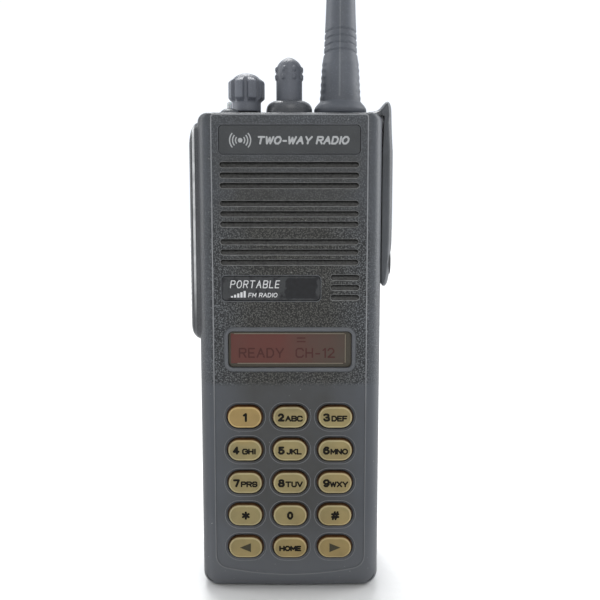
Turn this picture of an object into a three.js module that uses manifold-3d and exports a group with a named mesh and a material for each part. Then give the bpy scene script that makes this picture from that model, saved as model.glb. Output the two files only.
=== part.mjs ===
// A handheld two-way radio with a full keypad, two top knobs, a side push-to-talk bar, a screw-on whip
// antenna and a battery pack that swings off the back. Millimetres, +Z up, the keypad faces -Y, origin in
// the base.
import * as THREE from "three";
import { mergeVertices } from "three/addons/utils/BufferGeometryUtils.js";
import Module from "manifold-3d";

const wasm = await Module();
wasm.setup();

// ---------- driving dimensions ----------

const BODY = {
  halfWidth: 31.1,
  height: 162,
  front: -20.5,
  parting: -3,
  draft: 0.8,
  wall: 2,
  topCorner: 3,
  footCorner: 3.3,
};
const PANEL = { halfWidth: 25.6, y: -20.2, inner: -18.5, foot: 5.3, shoulder: 12.5, stepZ: 72.7 };
const CHASSIS = { front: -2.4, back: 4, humpBack: 12.5, humpFoot: 119, inset: 0.3 };
const BATTERY = { halfWidth: 30.7, front: 4.4, split: 6.1, back: 22.5, top: 117.5, slopeFoot: 108, wall: 2 };
const GRILLE = { halfWidth: 22.3, top: 145.05, pitch: 3.38, groupPitch: 12.5, slot: 1.4 };
const MIC_SLOTS = { left: 13.5, right: 22.9, top: 108.3, pitch: 3.33 };
const PLATE = { halfWidth: 21.2, foot: 149.1, top: 156.9, thick: 0.5 };
const MODEL_PLATE = { left: -22.4, right: 10, foot: 100.8, top: 108.7, thick: 0.5 };
const WINDOW = { halfWidth: 20.6, foot: 78.1, top: 90.3, corner: 1.6, rim: 1.1, rimHigh: 0.35 };
const KEY = { width: 11.4, height: 7.25, corner: 3.55, pitchX: 15.25, pitchZ: 11.44, topRow: 61.2 };
const KNOB_Y = -4.5;
const SELECT = {
  x: -14.8,
  grip: 6.2,
  neck: 4.85,
  foot: 163.4,
  ribFoot: 166.5,
  ribTop: 174.4,
  top: 176.4,
  ribs: 8,
};
const VOLUME = { x: -0.3, radius: 4.5, foot: 163, top: 181.6 };
const COLLAR = { radius: 7.85, foot: 162.45, shoulder: 163.9, top: 167 };
const ANTENNA = { x: 17.05, foot: 162.5, top: 312, studRadius: 2.6 };
const TOP_PANEL = { halfWidth: 26.5, front: -16, back: 9.5, foot: 160, top: 162.2 };
const LAMP = { x: -20, y: -11.5, domeRadius: 3.45, domeTop: 163.9, radius: 0.85, top: 166.2 };
const REAR_CONTROL_Y = 6.6;
const SIDE_GRIP = { front: -16, back: -3.5, foot: 87, top: 159, skin: -31.3, face: -33.3, centreY: -9.7 };
const PTT = { width: 6.6, foot: 91, top: 123.6, face: -33.3, rib: 0.4, ribs: 14, back: -32.5 };
const SIDE_BUTTONS = { top: 147.5, middle: 139, lower: 130.5 };
const SIDE_BUTTON_RADIUS = 2.5;
const PORT = { y: -9, halfY: 4.5, foot: 106, top: 150, screwZ: 113 };
const COVER = { front: -14.5, back: 1.5, inner: 31.4, outer: 34.8, hook: 26.3 };
const GAP = 0.3;

// ---------- geometry helpers ----------

const ALONG_Y = new THREE.Matrix4().makeBasis(
  new THREE.Vector3(1, 0, 0),
  new THREE.Vector3(0, 0, 1),
  new THREE.Vector3(0, -1, 0),
);
const ALONG_X = new THREE.Matrix4().makeBasis(
  new THREE.Vector3(0, 1, 0),
  new THREE.Vector3(0, 0, 1),
  new THREE.Vector3(1, 0, 0),
);

// A closed geometry as a manifold-3d solid.
function solid(geometry) {
  const bare = geometry.index ? geometry.toNonIndexed() : geometry.clone();
  bare.deleteAttribute("normal");
  bare.deleteAttribute("uv");
  const merged = mergeVertices(bare, 1e-4);
  const mesh = new wasm.Mesh({
    numProp: 3,
    vertProperties: merged.attributes.position.array,
    triVerts: new Uint32Array(merged.index.array),
  });
  return new wasm.Manifold(mesh);
}

// A manifold-3d solid as a geometry with flat faces.
function geometryOf(made) {
  const mesh = made.getMesh();
  const positions = new Float32Array(mesh.numVert * 3);
  for (let i = 0; i < mesh.numVert; i++)
    positions.set(mesh.vertProperties.subarray(i * mesh.numProp, i * mesh.numProp + 3), i * 3);
  const indexed = new THREE.BufferGeometry()
    .setAttribute("position", new THREE.BufferAttribute(positions, 3))
    .setIndex(new THREE.BufferAttribute(mesh.triVerts, 1));
  const flat = indexed.toNonIndexed();
  flat.computeVertexNormals();
  return flat;
}

const join = (...solids) => solids.reduce((whole, next) => whole.add(next));
const cut = (whole, ...tools) => tools.reduce((left, tool) => left.subtract(tool), whole);

function roundedRect(x0, y0, x1, y1, radius) {
  const r = Math.min(radius, (x1 - x0) / 2, (y1 - y0) / 2);
  const shape = new THREE.Shape();
  shape.absarc(x1 - r, y0 + r, r, -Math.PI / 2, 0);
  shape.absarc(x1 - r, y1 - r, r, 0, Math.PI / 2);
  shape.absarc(x0 + r, y1 - r, r, Math.PI / 2, Math.PI);
  shape.absarc(x0 + r, y0 + r, r, Math.PI, 1.5 * Math.PI);
  shape.closePath();
  return shape;
}

const extruded = (shape, depth, curveSegments) =>
  new THREE.ExtrudeGeometry(shape, { depth, bevelEnabled: false, curveSegments });

// A shape drawn in X and Z, filling y0 to y1.
const slabY = (shape, y0, y1, segments = 2) =>
  solid(extruded(shape, y1 - y0, segments).applyMatrix4(ALONG_Y).translate(0, y1, 0));

// A shape drawn in Y and Z, filling x0 to x1.
const slabX = (shape, x0, x1, segments = 2) =>
  solid(extruded(shape, x1 - x0, segments).applyMatrix4(ALONG_X).translate(x0, 0, 0));

// A shape drawn in X and Y, filling z0 to z1.
const slabZ = (shape, z0, z1, segments = 2) => solid(extruded(shape, z1 - z0, segments).translate(0, 0, z0));

function box(x0, x1, y0, y1, z0, z1) {
  const geometry = new THREE.BoxGeometry(x1 - x0, y1 - y0, z1 - z0);
  return solid(geometry.translate((x0 + x1) / 2, (y0 + y1) / 2, (z0 + z1) / 2));
}

// A profile of [radius, z] pairs, from the axis below to the axis above, turned about Z.
function turned(profile, segments = 20) {
  const points = profile.map(([r, z]) => new THREE.Vector2(r, z));
  return solid(new THREE.LatheGeometry(points, segments).applyMatrix4(ALONG_Y));
}

const rod = (radius, z0, z1, segments = 16) =>
  turned([[0, z0], [radius, z0], [radius, z1], [0, z1]], segments);
const rodX = (radius, x0, x1, segments = 16) => rod(radius, x0, x1, segments).rotate([0, 90, 0]);
const rodY = (radius, y0, y1, segments = 16) => rod(radius, y0, y1, segments).rotate([-90, 0, 0]);

// Rings of points, each with as many points as the last, skinned and capped into one closed solid.
function lofted(rings) {
  const count = rings[0].length;
  const triangles = [];
  const face = (a, b, c) => triangles.push(...a, ...b, ...c);
  for (let k = 0; k + 1 < rings.length; k++)
    for (let i = 0; i < count; i++) {
      const [a, b] = [rings[k][i], rings[k][(i + 1) % count]];
      const [c, d] = [rings[k + 1][(i + 1) % count], rings[k + 1][i]];
      face(a, b, c);
      face(a, c, d);
    }
  const [first, last] = [rings[0], rings[rings.length - 1]];
  for (let i = 1; i + 1 < count; i++) {
    face(first[0], first[i + 1], first[i]);
    face(last[0], last[i], last[i + 1]);
  }
  const geometry = new THREE.BufferGeometry();
  return solid(geometry.setAttribute("position", new THREE.Float32BufferAttribute(triangles, 3)));
}

// The points of a rounded rectangle, the same number whatever its size.
function ringPoints(x0, y0, x1, y1, radii, perCorner = 4) {
  const corners = [
    [x1, y0, -1, 1, -Math.PI / 2, radii.foot],
    [x1, y1, -1, -1, 0, radii.top],
    [x0, y1, 1, -1, Math.PI / 2, radii.top],
    [x0, y0, 1, 1, Math.PI, radii.foot],
  ];
  return corners.flatMap(([x, y, inX, inY, start, r]) =>
    Array.from({ length: perCorner + 1 }, (_, i) => {
      const angle = start + (i / perCorner) * (Math.PI / 2);
      return [x + inX * r + r * Math.cos(angle), y + inY * r + r * Math.sin(angle)];
    }),
  );
}

// ---------- the radio's outline ----------

// The body's outline seen from the front, moved in by an inset, at depth y.
function bodyRing(y, inset, footInset = inset, topInset = inset) {
  const radii = {
    foot: Math.max(BODY.footCorner - inset, 0.8),
    top: Math.max(BODY.topCorner - inset, 0.8),
  };
  const half = BODY.halfWidth - inset;
  const points = ringPoints(-half, footInset, half, BODY.height - topInset, radii);
  return points.map(([x, z]) => [x, y, z]);
}

// The flat front panel: straight sides, a square top and a shallow arc across the foot.
function panelShape() {
  const { halfWidth, foot, shoulder } = PANEL;
  const shape = new THREE.Shape();
  shape.moveTo(-halfWidth, BODY.height - 1.6);
  shape.lineTo(-halfWidth, shoulder);
  shape.bezierCurveTo(-halfWidth, foot + 2.5, -halfWidth + 4, foot, 0, foot);
  shape.bezierCurveTo(halfWidth - 4, foot, halfWidth, foot + 2.5, halfWidth, shoulder);
  shape.lineTo(halfWidth, BODY.height - 1.6);
  shape.closePath();
  return shape;
}

const grilleSlots = [0, 1, 2].flatMap((group) =>
  [0, 1, 2].map((slot) => {
    const z = GRILLE.top - group * GRILLE.groupPitch - slot * GRILLE.pitch;
    return [-GRILLE.halfWidth, z - GRILLE.slot / 2, GRILLE.halfWidth, z + GRILLE.slot / 2];
  }),
);
const micSlots = [0, 1, 2].map((slot) => {
  const z = MIC_SLOTS.top - slot * MIC_SLOTS.pitch;
  return [MIC_SLOTS.left, z - GRILLE.slot / 2, MIC_SLOTS.right, z + GRILLE.slot / 2];
});

const KEY_NAMES = [
  ["key_1", "key_2", "key_3"],
  ["key_4", "key_5", "key_6"],
  ["key_7", "key_8", "key_9"],
  ["key_star", "key_0", "key_hash"],
  ["key_left", "key_home", "key_right"],
];
const keys = KEY_NAMES.flatMap((row, r) =>
  row.map((name, c) => ({ name, x: (c - 1) * KEY.pitchX, z: KEY.topRow - r * KEY.pitchZ })),
);

// A key-shaped outline, grown by a margin on every side.
const keyShape = (margin, x = 0, z = 0) => {
  const [halfX, halfZ] = [KEY.width / 2 + margin, KEY.height / 2 + margin];
  return roundedRect(x - halfX, z - halfZ, x + halfX, z + halfZ, KEY.corner + margin);
};

const screwPlaces = [12, 108].flatMap((z) => [-26, 26].map((x) => ({ x, z })));

// ---------- casings ----------

function frontHousing() {
  const { parting, draft, wall, halfWidth, height } = BODY;
  const outer = lofted([
    bodyRing(parting, 0),
    bodyRing(parting - 0.3, 0),
    bodyRing(-15, draft, 0, 0),
    bodyRing(-17.8, draft + 0.5, 0.5, 0.5),
    bodyRing(-19.1, draft + 1.3, 1.5, 1.5),
    bodyRing(-19.9, draft + 2.4, 2.4, 1.6),
    bodyRing(BODY.front, 5.2, 4.6, 2.2),
  ]);
  const inside = roundedRect(-halfWidth + wall, wall, halfWidth - wall, height - wall, 2.5);
  const [w, rim] = [WINDOW, WINDOW.rim];
  const rimHalf = w.halfWidth + rim;
  const rimShape = roundedRect(-rimHalf, w.foot - rim, rimHalf, w.top + rim, w.corner + rim);
  const bosses = screwPlaces.map(({ x, z }) => rodY(2.6, -18.6, parting - GAP, 10).translate(x, 0, z));
  const bossHoles = screwPlaces.map(({ x, z }) => rodY(1.5, -12, parting + 1, 8).translate(x, 0, z));
  let body = cut(
    outer,
    slabY(panelShape(), BODY.front - 1, PANEL.y, 5),
    slabY(roundedRect(-25.2, 8, 25.2, PANEL.stepZ, 6), BODY.front - 1, PANEL.y + 0.15),
    slabY(inside, PANEL.inner, parting + 1),
  );
  body = join(body, slabY(rimShape, PANEL.y - WINDOW.rimHigh, PANEL.y + 0.1), ...bosses);
  const slots = [...grilleSlots, ...micSlots].map(([x0, z0, x1, z1]) =>
    slabY(roundedRect(x0, z0, x1, z1, GRILLE.slot / 2), -21, -18, 1),
  );
  const keyHoles = keys.map(({ x, z }) => slabY(keyShape(0.5, x, z), -22, -18));
  const platePocket = roundedRect(-22.3, 148.2, 22.3, 158, 1.5);
  const modelPocket = roundedRect(MODEL_PLATE.left - GAP, MODEL_PLATE.foot - GAP, MODEL_PLATE.right + GAP,
    MODEL_PLATE.top + GAP, 1.5);
  const windowHole = roundedRect(-w.halfWidth, w.foot, w.halfWidth, w.top, w.corner);
  const top = TOP_PANEL;
  return cut(
    body,
    ...slots,
    ...keyHoles,
    ...bossHoles,
    slabY(platePocket, -22, PANEL.y + 0.6),
    slabY(modelPocket, -22, PANEL.y + 0.6),
    slabY(windowHole, -22, -18),
    box(-top.halfWidth - GAP, top.halfWidth + GAP, top.front - GAP, parting + 1, height - 5, height + 1),
    box(-halfWidth - 1, -30.5, -13, -6.5, 90, 151),
    box(28.8, halfWidth + 1, PORT.y - PORT.halfY - GAP, PORT.y + PORT.halfY + GAP, PORT.foot - GAP,
      PORT.top + GAP),
  );
}

function mainSeal() {
  const [y0, y1] = [BODY.parting + 0.05, CHASSIS.front - 0.05];
  const { halfWidth, height } = BODY;
  const outside = roundedRect(-halfWidth + 0.6, 0.6, halfWidth - 0.6, height - 0.6, 3);
  const inside = roundedRect(-halfWidth + 1.8, 1.8, halfWidth - 1.8, height - 1.8, 2);
  const gate = TOP_PANEL.halfWidth + GAP;
  const opening = box(-gate, gate, y0 - 1, y1 + 1, 155, 165);
  return cut(slabY(outside, y0, y1), slabY(inside, y0 - 1, y1 + 1), opening);
}

function rearChassis() {
  const { front, back, humpBack, humpFoot, inset } = CHASSIS;
  const { height } = BODY;
  const half = BODY.halfWidth - inset;
  const plate = roundedRect(-half, 0, half, height - inset, 3.5);
  const hump = lofted([
    [0, back - 0.5],
    [0, humpBack - 3.2],
    [0.9, humpBack - 0.9],
    [3, humpBack],
  ].map(([d, y]) => {
    const ring = ringPoints(-half + d, humpFoot + d * 0.6, half - d, height - inset - d, { foot: 2, top: 3 });
    return ring.map(([x, z]) => [x, y, z]);
  }).reverse());
  const top = TOP_PANEL;
  const counterbores = screwPlaces.flatMap(({ x, z }) => [
    rodY(3.1, 2.4, back + 1, 12).translate(x, 0, z),
    rodY(1.6, front - 1, 3, 8).translate(x, 0, z),
  ]);
  const lugPockets = [-17, 17].map((x) => box(x - 3.8, x + 3.8, 2.2, 8.2, humpFoot - 3, 122.2));
  return cut(
    join(slabY(plate, front, back), hump),
    slabY(roundedRect(-22.6, 8, 22.6, 116, 2), front - 1, 1.5),
    slabY(roundedRect(-28.2, 125, 28.2, height - 2.2, 2), front - 1, humpBack - 2),
    box(-top.halfWidth - GAP, top.halfWidth + GAP, front - 1, top.back + GAP, height - 5, height + 1),
    box(-6.5, 6.5, 1.8, back + 1, 0.6, 2.7),
    box(-12.3, 12.3, -3, back + 1, 97.7, 104.3),
    ...lugPockets,
    ...counterbores,
  );
}

function topPanel() {
  const { halfWidth, front, back, foot, top } = TOP_PANEL;
  const plate = slabZ(roundedRect(-halfWidth, front, halfWidth, back, 2), foot, top);
  const { domeRadius: r, domeTop } = LAMP;
  const dome = turned([
    [0, top - 0.5], [r, top - 0.5], [r, top + 0.3], [r * 0.8, domeTop - 0.5], [0, domeTop],
  ], 16);
  const holes = [
    rod(3.9, 150, 170).translate(SELECT.x, KNOB_Y, 0),
    rod(3.9, 150, 170).translate(VOLUME.x, KNOB_Y, 0),
    rod(4.8, 150, 170).translate(ANTENNA.x, KNOB_Y, 0),
    rod(LAMP.radius + 0.2, 150, 170, 10).translate(LAMP.x, LAMP.y, 0),
    rod(3.7, 150, 170).translate(SELECT.x, REAR_CONTROL_Y - 0.6, 0),
    box(-2.7, 2.7, REAR_CONTROL_Y - 2, REAR_CONTROL_Y + 2, 150, 170),
  ];
  return cut(join(plate, dome.translate(LAMP.x, LAMP.y, 0)), ...holes);
}

const namePlate = () => {
  const { halfWidth, foot, top, thick } = PLATE;
  return slabY(roundedRect(-halfWidth, foot, halfWidth, top, 1), PANEL.y + 0.55 - thick, PANEL.y + 0.55);
};

const modelPlate = () => {
  const { left, right, foot, top, thick } = MODEL_PLATE;
  return slabY(roundedRect(left, foot, right, top, 1.2), PANEL.y + 0.55 - thick, PANEL.y + 0.55);
};

// ---------- display, sound and boards ----------

const displayLens = () => {
  const { halfWidth, foot, top, corner } = WINDOW;
  const shape = roundedRect(-halfWidth + 0.2, foot + 0.2, halfWidth - 0.2, top - 0.2, corner - 0.2);
  return slabY(shape, -20.1, -18.9);
};

function displayModule() {
  const frame = box(-22.6, 22.6, -18.3, -15.3, 74.5, 94);
  const glassSeat = box(-20, 20, -19, -17.5, 77.5, 91);
  const glass = box(-19.5, 19.5, -18.2, -17.3, 78, 90.5);
  return join(cut(frame, glassSeat), glass);
}

function speaker() {
  const profile = [
    [0, -17.9], [4, -17.6], [6.5, -16.4], [8, -16.2], [16, -17.6], [17.4, -17.9], [19, -17.9],
    [19, -16.6], [16.5, -14.4], [10.5, -12.4], [10.5, -10.4], [0, -10.4],
  ].map(([r, y]) => [r, -y]).reverse();
  return turned(profile, 24).rotate([90, 0, 0]).translate(0, 0, 129);
}

const speakerFelt = () => slabY(roundedRect(-22.6, 111.2, 22.6, 147.2, 2), -18.45, -18.05);

const microphone = () => rodY(3, -18.2, -15.6, 14).translate(18.2, 0, 105);

function keypadMat() {
  const sheet = slabY(roundedRect(-22.6, 8, 22.6, 68.5, 3), -16.5, -15.7);
  const pillars = keys.map(({ x, z }) => rodY(2.4, -15.8, -15.2, 6).translate(x, 0, z));
  return join(sheet, ...pillars);
}

function mainBoard() {
  const board = box(-22.6, 22.6, -14.9, -13.7, 5, 99);
  const chips = [
    [-15, -1, 22, 36],
    [4, 16, 24, 36],
    [-14, 12, 48, 58],
    [-18, -8, 70, 80],
    [2, 17, 72, 82],
  ].map(([x0, x1, z0, z1]) => box(x0, x1, -14, -12.3, z0, z1));
  return join(board, ...chips);
}

function rfBoard() {
  const board = box(-22.6, 22.6, -9.8, -8.6, 6, 146);
  const coils = [30, 55, 84].map((z) => box(-12, 12, -11.2, -9.5, z, z + 14));
  return join(board, ...coils);
}

const rfShield = () => cut(box(-21, 21, -8.3, -4.4, 10, 140), box(-20.4, 20.4, -8.4, -5, 10.6, 139.4));

// A rotary switch or potentiometer below the top panel, with a hole for its shaft.
const rotarySwitch = () =>
  turned([
    [0, 149], [5.5, 149], [5.5, 157.5], [3.6, 157.5], [3.6, 161.9], [2.95, 161.9], [2.95, 156], [0, 156],
  ], 18);

const antennaSocket = () =>
  turned([
    [0, 151.5], [5.8, 151.5], [5.8, 154], [4.5, 154], [4.5, 162.1], [2.95, 162.1], [2.95, 153], [0, 153],
  ], 18);

function lampLens() {
  const { radius, top } = LAMP;
  return turned([
    [0, 158.5], [radius + 0.6, 158.5], [radius + 0.6, 159.6], [radius, 159.6], [radius, top - 0.4], [0, top],
  ], 10);
}

function contactBlock() {
  const block = box(-12, 12, -2, 3.6, 98, 104);
  const fingers = [-9, -3, 3, 9].map((x) => box(x - 1.2, x + 1.2, 3.4, 4.1, 99, 103));
  return join(block, ...fingers);
}

const sideSwitchStrip = () => slabX(roundedRect(-12.7, 90.3, -6.8, 150.7, 1), -31.15, -30.75, 1);

function accessoryPort() {
  const shape = roundedRect(PORT.y - PORT.halfY, PORT.foot, PORT.y + PORT.halfY, PORT.top, 0.6);
  const block = slabX(shape, 29, 31, 1);
  const pads = [-2, 2].flatMap((side) => [0, 1, 2, 3, 4].map((i) =>
    rodX(1, 30.9, 31.3, 8).translate(0, PORT.y + side, 122 + i * 5.6)));
  return cut(join(block, ...pads), rodX(1.9, 28, 32, 12).translate(0, PORT.y, PORT.screwZ));
}

function chassisScrew() {
  const head = rodY(2.6, 2.6, 3.9, 14);
  const shank = rodY(1.2, -9, 2.7, 10);
  return cut(join(head, shank), box(-1.8, 1.8, 3.3, 5, -0.3, 0.3), box(-0.3, 0.3, 3.3, 5, -1.8, 1.8));
}

// ---------- controls ----------

// A keypad key: a crowned cap on a flange that holds it behind the housing.
function keyCap() {
  const loop = (margin, y) => {
    const [halfX, halfZ] = [KEY.width / 2 + margin, KEY.height / 2 + margin];
    const radius = KEY.corner + margin;
    const radii = { foot: radius, top: radius };
    return ringPoints(-halfX, -halfZ, halfX, halfZ, radii, 3).map(([x, z]) => [x, y, z]);
  };
  const rings = [[1.1, -17.5], [1.1, -18.1], [0, -18.1], [0, -20.7], [-1, -21.1]];
  return lofted(rings.map(([margin, y]) => loop(margin, y)));
}

function selectKnob() {
  const { grip, neck, foot, ribFoot, ribTop, top, ribs } = SELECT;
  const core = turned([[0, foot], [neck, foot], [neck, ribFoot], [grip - 0.9, ribFoot + 1.2],
    [grip - 0.9, ribTop - 0.6], [grip - 1.9, ribTop + 0.4], [grip - 3.6, top - 0.5], [0, top]]);
  const rib = slabY(roundedRect(-1.05, ribFoot, 1.05, ribTop, 1), -grip, -neck + 2, 1);
  const ring = Array.from({ length: ribs }, (_, i) => rib.rotate([0, 0, (i * 360) / ribs]));
  return join(core, ...ring, rod(2.6, 156.4, foot + 0.5));
}

function zoneRing() {
  const ring = turned([[3.9, 162.45], [5.1, 162.45], [5.1, 163.1], [3.9, 163.1], [3.9, 162.45]]);
  return join(ring, box(-1, 1, 4.6, 6.6, 162.45, 163.1), box(-1, 1, 5.4, 6.6, 162.8, 163.9));
}

function volumeKnob() {
  const { radius: r, foot, top } = VOLUME;
  const cap = turned([
    [0, foot], [r, foot], [r, top - 6.8], [r + 0.1, top - 4.4], [r - 0.3, top - 3], [r - 1.2, top - 1.4],
    [r - 2.6, top - 0.4], [0, top],
  ]);
  return join(cap, rod(2.6, 156.4, foot + 0.5));
}

function volumeCollar() {
  const { radius, foot, shoulder, top } = COLLAR;
  const bore = VOLUME.radius + 0.4;
  return turned([
    [bore, foot], [radius, foot], [radius, shoulder], [radius - 0.6, shoulder + 1.5], [6, top - 0.5],
    [bore + 0.3, top], [bore, top], [bore, foot],
  ], 24);
}

// The toggle's bat lever, its pivot at the origin.
const toggleLever = () =>
  turned([[0, -1.8], [1.3, -1.3], [1.8, 0], [1.3, 1.3], [1, 1.9], [1.3, 6], [1, 6.9], [0, 7.2]], 12);

const emergencyButton = () =>
  turned([[0, 160.5], [3.4, 160.5], [3.4, 164.1], [2.9, 164.6], [0, 164.6]], 18);

function antennaWhip() {
  const bore = ANTENNA.studRadius + 0.3;
  const grooves = [191.4, 189.2, 187, 184.8].flatMap((z) => {
    const r = 5.6 - (z - 184) * 0.045;
    return [[r, z - 0.35], [r - 0.35, z], [r, z + 0.35]];
  });
  grooves.sort((a, b) => a[1] - b[1]);
  const outside = [[8.9, ANTENNA.foot], [8.9, 164.1], [8, 165.9], [6.95, 166.9], [6.15, 179.5], [5.65, 182.5],
    ...grooves, [4.85, 200.4], [4.2, 225], [3.7, 260], [3.3, 305], [2.6, 310.4], [0, ANTENNA.top]];
  return turned([[0, 170.4], [bore, 170.4], [bore, ANTENNA.foot], ...outside], 20);
}

const antennaStud = () => {
  const r = ANTENNA.studRadius;
  return turned([[0, 154], [r - 0.4, 154], [r, 154.5], [r, 170], [0, 170]], 16);
};

// ---------- push-to-talk side ----------

function sideGrip() {
  const { front, back, foot, top, skin, face, centreY } = SIDE_GRIP;
  const loop = (x, inY, inZ) => {
    const radii = { foot: 3 - inY * 0.5, top: 3 - inY * 0.5 };
    return ringPoints(front + inY, foot + inZ, back - inY, top - inZ, radii).map(([y, z]) => [x, y, z]);
  };
  const hump = lofted([loop(face, 2, 5.5), loop(-33, 1.1, 3.8), loop(-32.3, 0.3, 1.6), loop(skin, 0, 0)]);
  const half = PTT.width / 2 + GAP;
  const opening = roundedRect(centreY - half, PTT.foot - GAP, centreY + half, PTT.top + GAP, 2.3);
  const holes = Object.values(SIDE_BUTTONS).map((z) =>
    rodX(SIDE_BUTTON_RADIUS + 0.3, -36, -30, 14).translate(0, centreY, z));
  return cut(hump, slabX(opening, -36, -30), ...holes);
}

function pttBar() {
  const { width, foot, top, face, rib, ribs, back } = PTT;
  const y = SIDE_GRIP.centreY;
  const bar = slabX(roundedRect(y - width / 2, foot, y + width / 2, top, 2), face, back);
  const pitch = (top - foot - 4) / ribs;
  const ridges = Array.from({ length: ribs }, (_, i) => {
    const z = foot + 2 + (i + 0.5) * pitch;
    return box(face - rib, face + 0.2, y - width / 2 + 0.7, y + width / 2 - 0.7, z - 0.5, z + 0.5);
  });
  return join(bar, ...ridges);
}

const sideButton = () => {
  const r = SIDE_BUTTON_RADIUS;
  return turned([[0, -33.6], [r - 0.5, -33.5], [r, -33.2], [r, -32.3], [0, -32.3]], 14).rotate([0, 90, 0]);
};

// ---------- accessory port cover ----------

function portCover() {
  const shape = new THREE.Shape();
  const { inner, outer, hook, front, back } = COVER;
  shape.moveTo(inner, 105.3);
  shape.quadraticCurveTo(inner, 104.4, inner + 0.9, 104.4);
  shape.quadraticCurveTo(outer - 1.6, 104.8, outer - 0.9, 108.4);
  shape.lineTo(outer - 0.15, 117);
  shape.lineTo(outer, 123);
  shape.lineTo(outer, 147);
  shape.lineTo(outer - 0.4, 155);
  shape.lineTo(outer - 0.6, 162);
  shape.quadraticCurveTo(outer - 0.9, 166.6, 32.8, 166.7);
  shape.quadraticCurveTo(31.3, 165.6, 30.3, 164.2);
  shape.quadraticCurveTo(29, 163.3, hook, 163.1);
  shape.lineTo(hook, 162.5);
  shape.quadraticCurveTo(inner, 162.5, inner, 159);
  shape.closePath();
  const plate = slabY(shape, front, back, 4);
  return cut(
    plate,
    rodX(1.9, 20, 40, 12).translate(0, PORT.y, PORT.screwZ),
    rodX(4.9, 33, 40, 20).translate(0, PORT.y, PORT.screwZ),
  );
}

function coverScrew() {
  const head = rodX(4.5, 33.15, 33.95, 20);
  const shank = rodX(1.5, 27.6, 33.3, 10);
  return cut(join(head, shank), box(33.6, 36, -3.4, 3.4, -0.55, 0.55));
}

// ---------- battery ----------

// A wedge that cuts the battery's top back edge to a slope, so that the pack can swing out below the hump.
function slopeWedge() {
  const { split, back, top, slopeFoot } = BATTERY;
  const wedge = new THREE.Shape();
  wedge.moveTo(split, top);
  wedge.lineTo(back + 1, slopeFoot - 0.6);
  wedge.lineTo(back + 1, top + 9);
  wedge.lineTo(split, top + 9);
  wedge.closePath();
  return slabX(wedge, -40, 40);
}

function batteryShell() {
  const { halfWidth, split, back, top, wall } = BATTERY;
  const outer = lofted([[0, split + 0.2], [0, back - 4], [1, back - 1.3], [3.2, back]].map(([d, y]) => {
    const ring = ringPoints(-halfWidth + d, d * 0.9, halfWidth - d, top, { foot: 4 - d * 0.6, top: 2 });
    return ring.map(([x, z]) => [x, y, z]);
  }).reverse());
  const pocket = roundedRect(-halfWidth + wall, 3.4, halfWidth - wall, 104, 2);
  return cut(outer, slopeWedge(), slabY(pocket, 5, back - wall), box(-9, 9, 5, 18.6, -1, 2.7));
}

function batteryFace() {
  const { halfWidth, front, split, top } = BATTERY;
  const plate = slabY(roundedRect(-halfWidth, 0, halfWidth, top, 3.5), front, split);
  const lugs = [-1, 1].map((side) => box(side * 17 - 3, side * 17 + 3, 4.8, 6, top - 1, top + 3.5));
  return cut(
    join(plate, ...lugs),
    box(-6.5, 6.5, front - 1, split + 1, -1, 2.7),
    slabY(roundedRect(-22.5, 12, 22.5, 92, 3), front - 1, front + 0.5),
  );
}

function cellPack() {
  const [radius, pitch, y] = [6.9, 14.1, 13.3];
  const columns = [-pitch, 0, pitch];
  const cells = [4.6, 54.4].flatMap((z) =>
    columns.map((x) => rod(radius, z, z + 48.2, 14).translate(x, y, 0)));
  const straps = [[-pitch, 0], [0, pitch]].flatMap(([x0, x1]) =>
    [4.6, 101.8].map((z) => box(x0, x1, y - 3, y + 3, z, z + 0.8)));
  const links = columns.map((x) => box(x - 3, x + 3, y - 3, y + 3, 52.5, 54.6));
  return join(...cells, ...straps, ...links);
}

function batteryLatch() {
  const thumbPad = box(-8.6, 8.6, 8.6, 16.2, 0.5, 2.3);
  const tongue = box(-6, 6, 2.4, 9, 1, 2.3);
  const grips = [10, 11.6, 13.2, 14.8].map((y) => box(-7, 7, y - 0.35, y + 0.35, 0.1, 0.7));
  return join(thumbPad, tongue, ...grips);
}

// ---------- materials and assembly ----------

const finish = (color, roughness, metalness = 0) =>
  new THREE.MeshStandardMaterial({ color, roughness, metalness });
const FINISH = {
  casing: finish(0x4a4d50, 0.55),
  rubber: finish(0x34373b, 0.75),
  whip: finish(0x5b5f66, 0.6),
  knob: finish(0x565b62, 0.6),
  key: finish(0xa08a58, 0.45),
  alloy: finish(0x45484a, 0.5, 0.6),
  brass: finish(0xb08d4a, 0.35, 1),
  steel: finish(0xa4a7aa, 0.35, 1),
  plate: finish(0x3a3d40, 0.4),
  glass: finish(0x5a403c, 0.15),
  board: finish(0x2f5b3a, 0.6),
  felt: finish(0x1c1d1e, 0.95),
  lamp: finish(0xe8ecee, 0.2),
  orange: finish(0xd0602a, 0.5),
  cells: finish(0x7d8a96, 0.4),
};

const radio = new THREE.Group();

function add(name, made, material, position = [0, 0, 0]) {
  const mesh = new THREE.Mesh(geometryOf(made), material);
  mesh.name = name;
  mesh.position.set(...position);
  radio.add(mesh);
}

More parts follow.
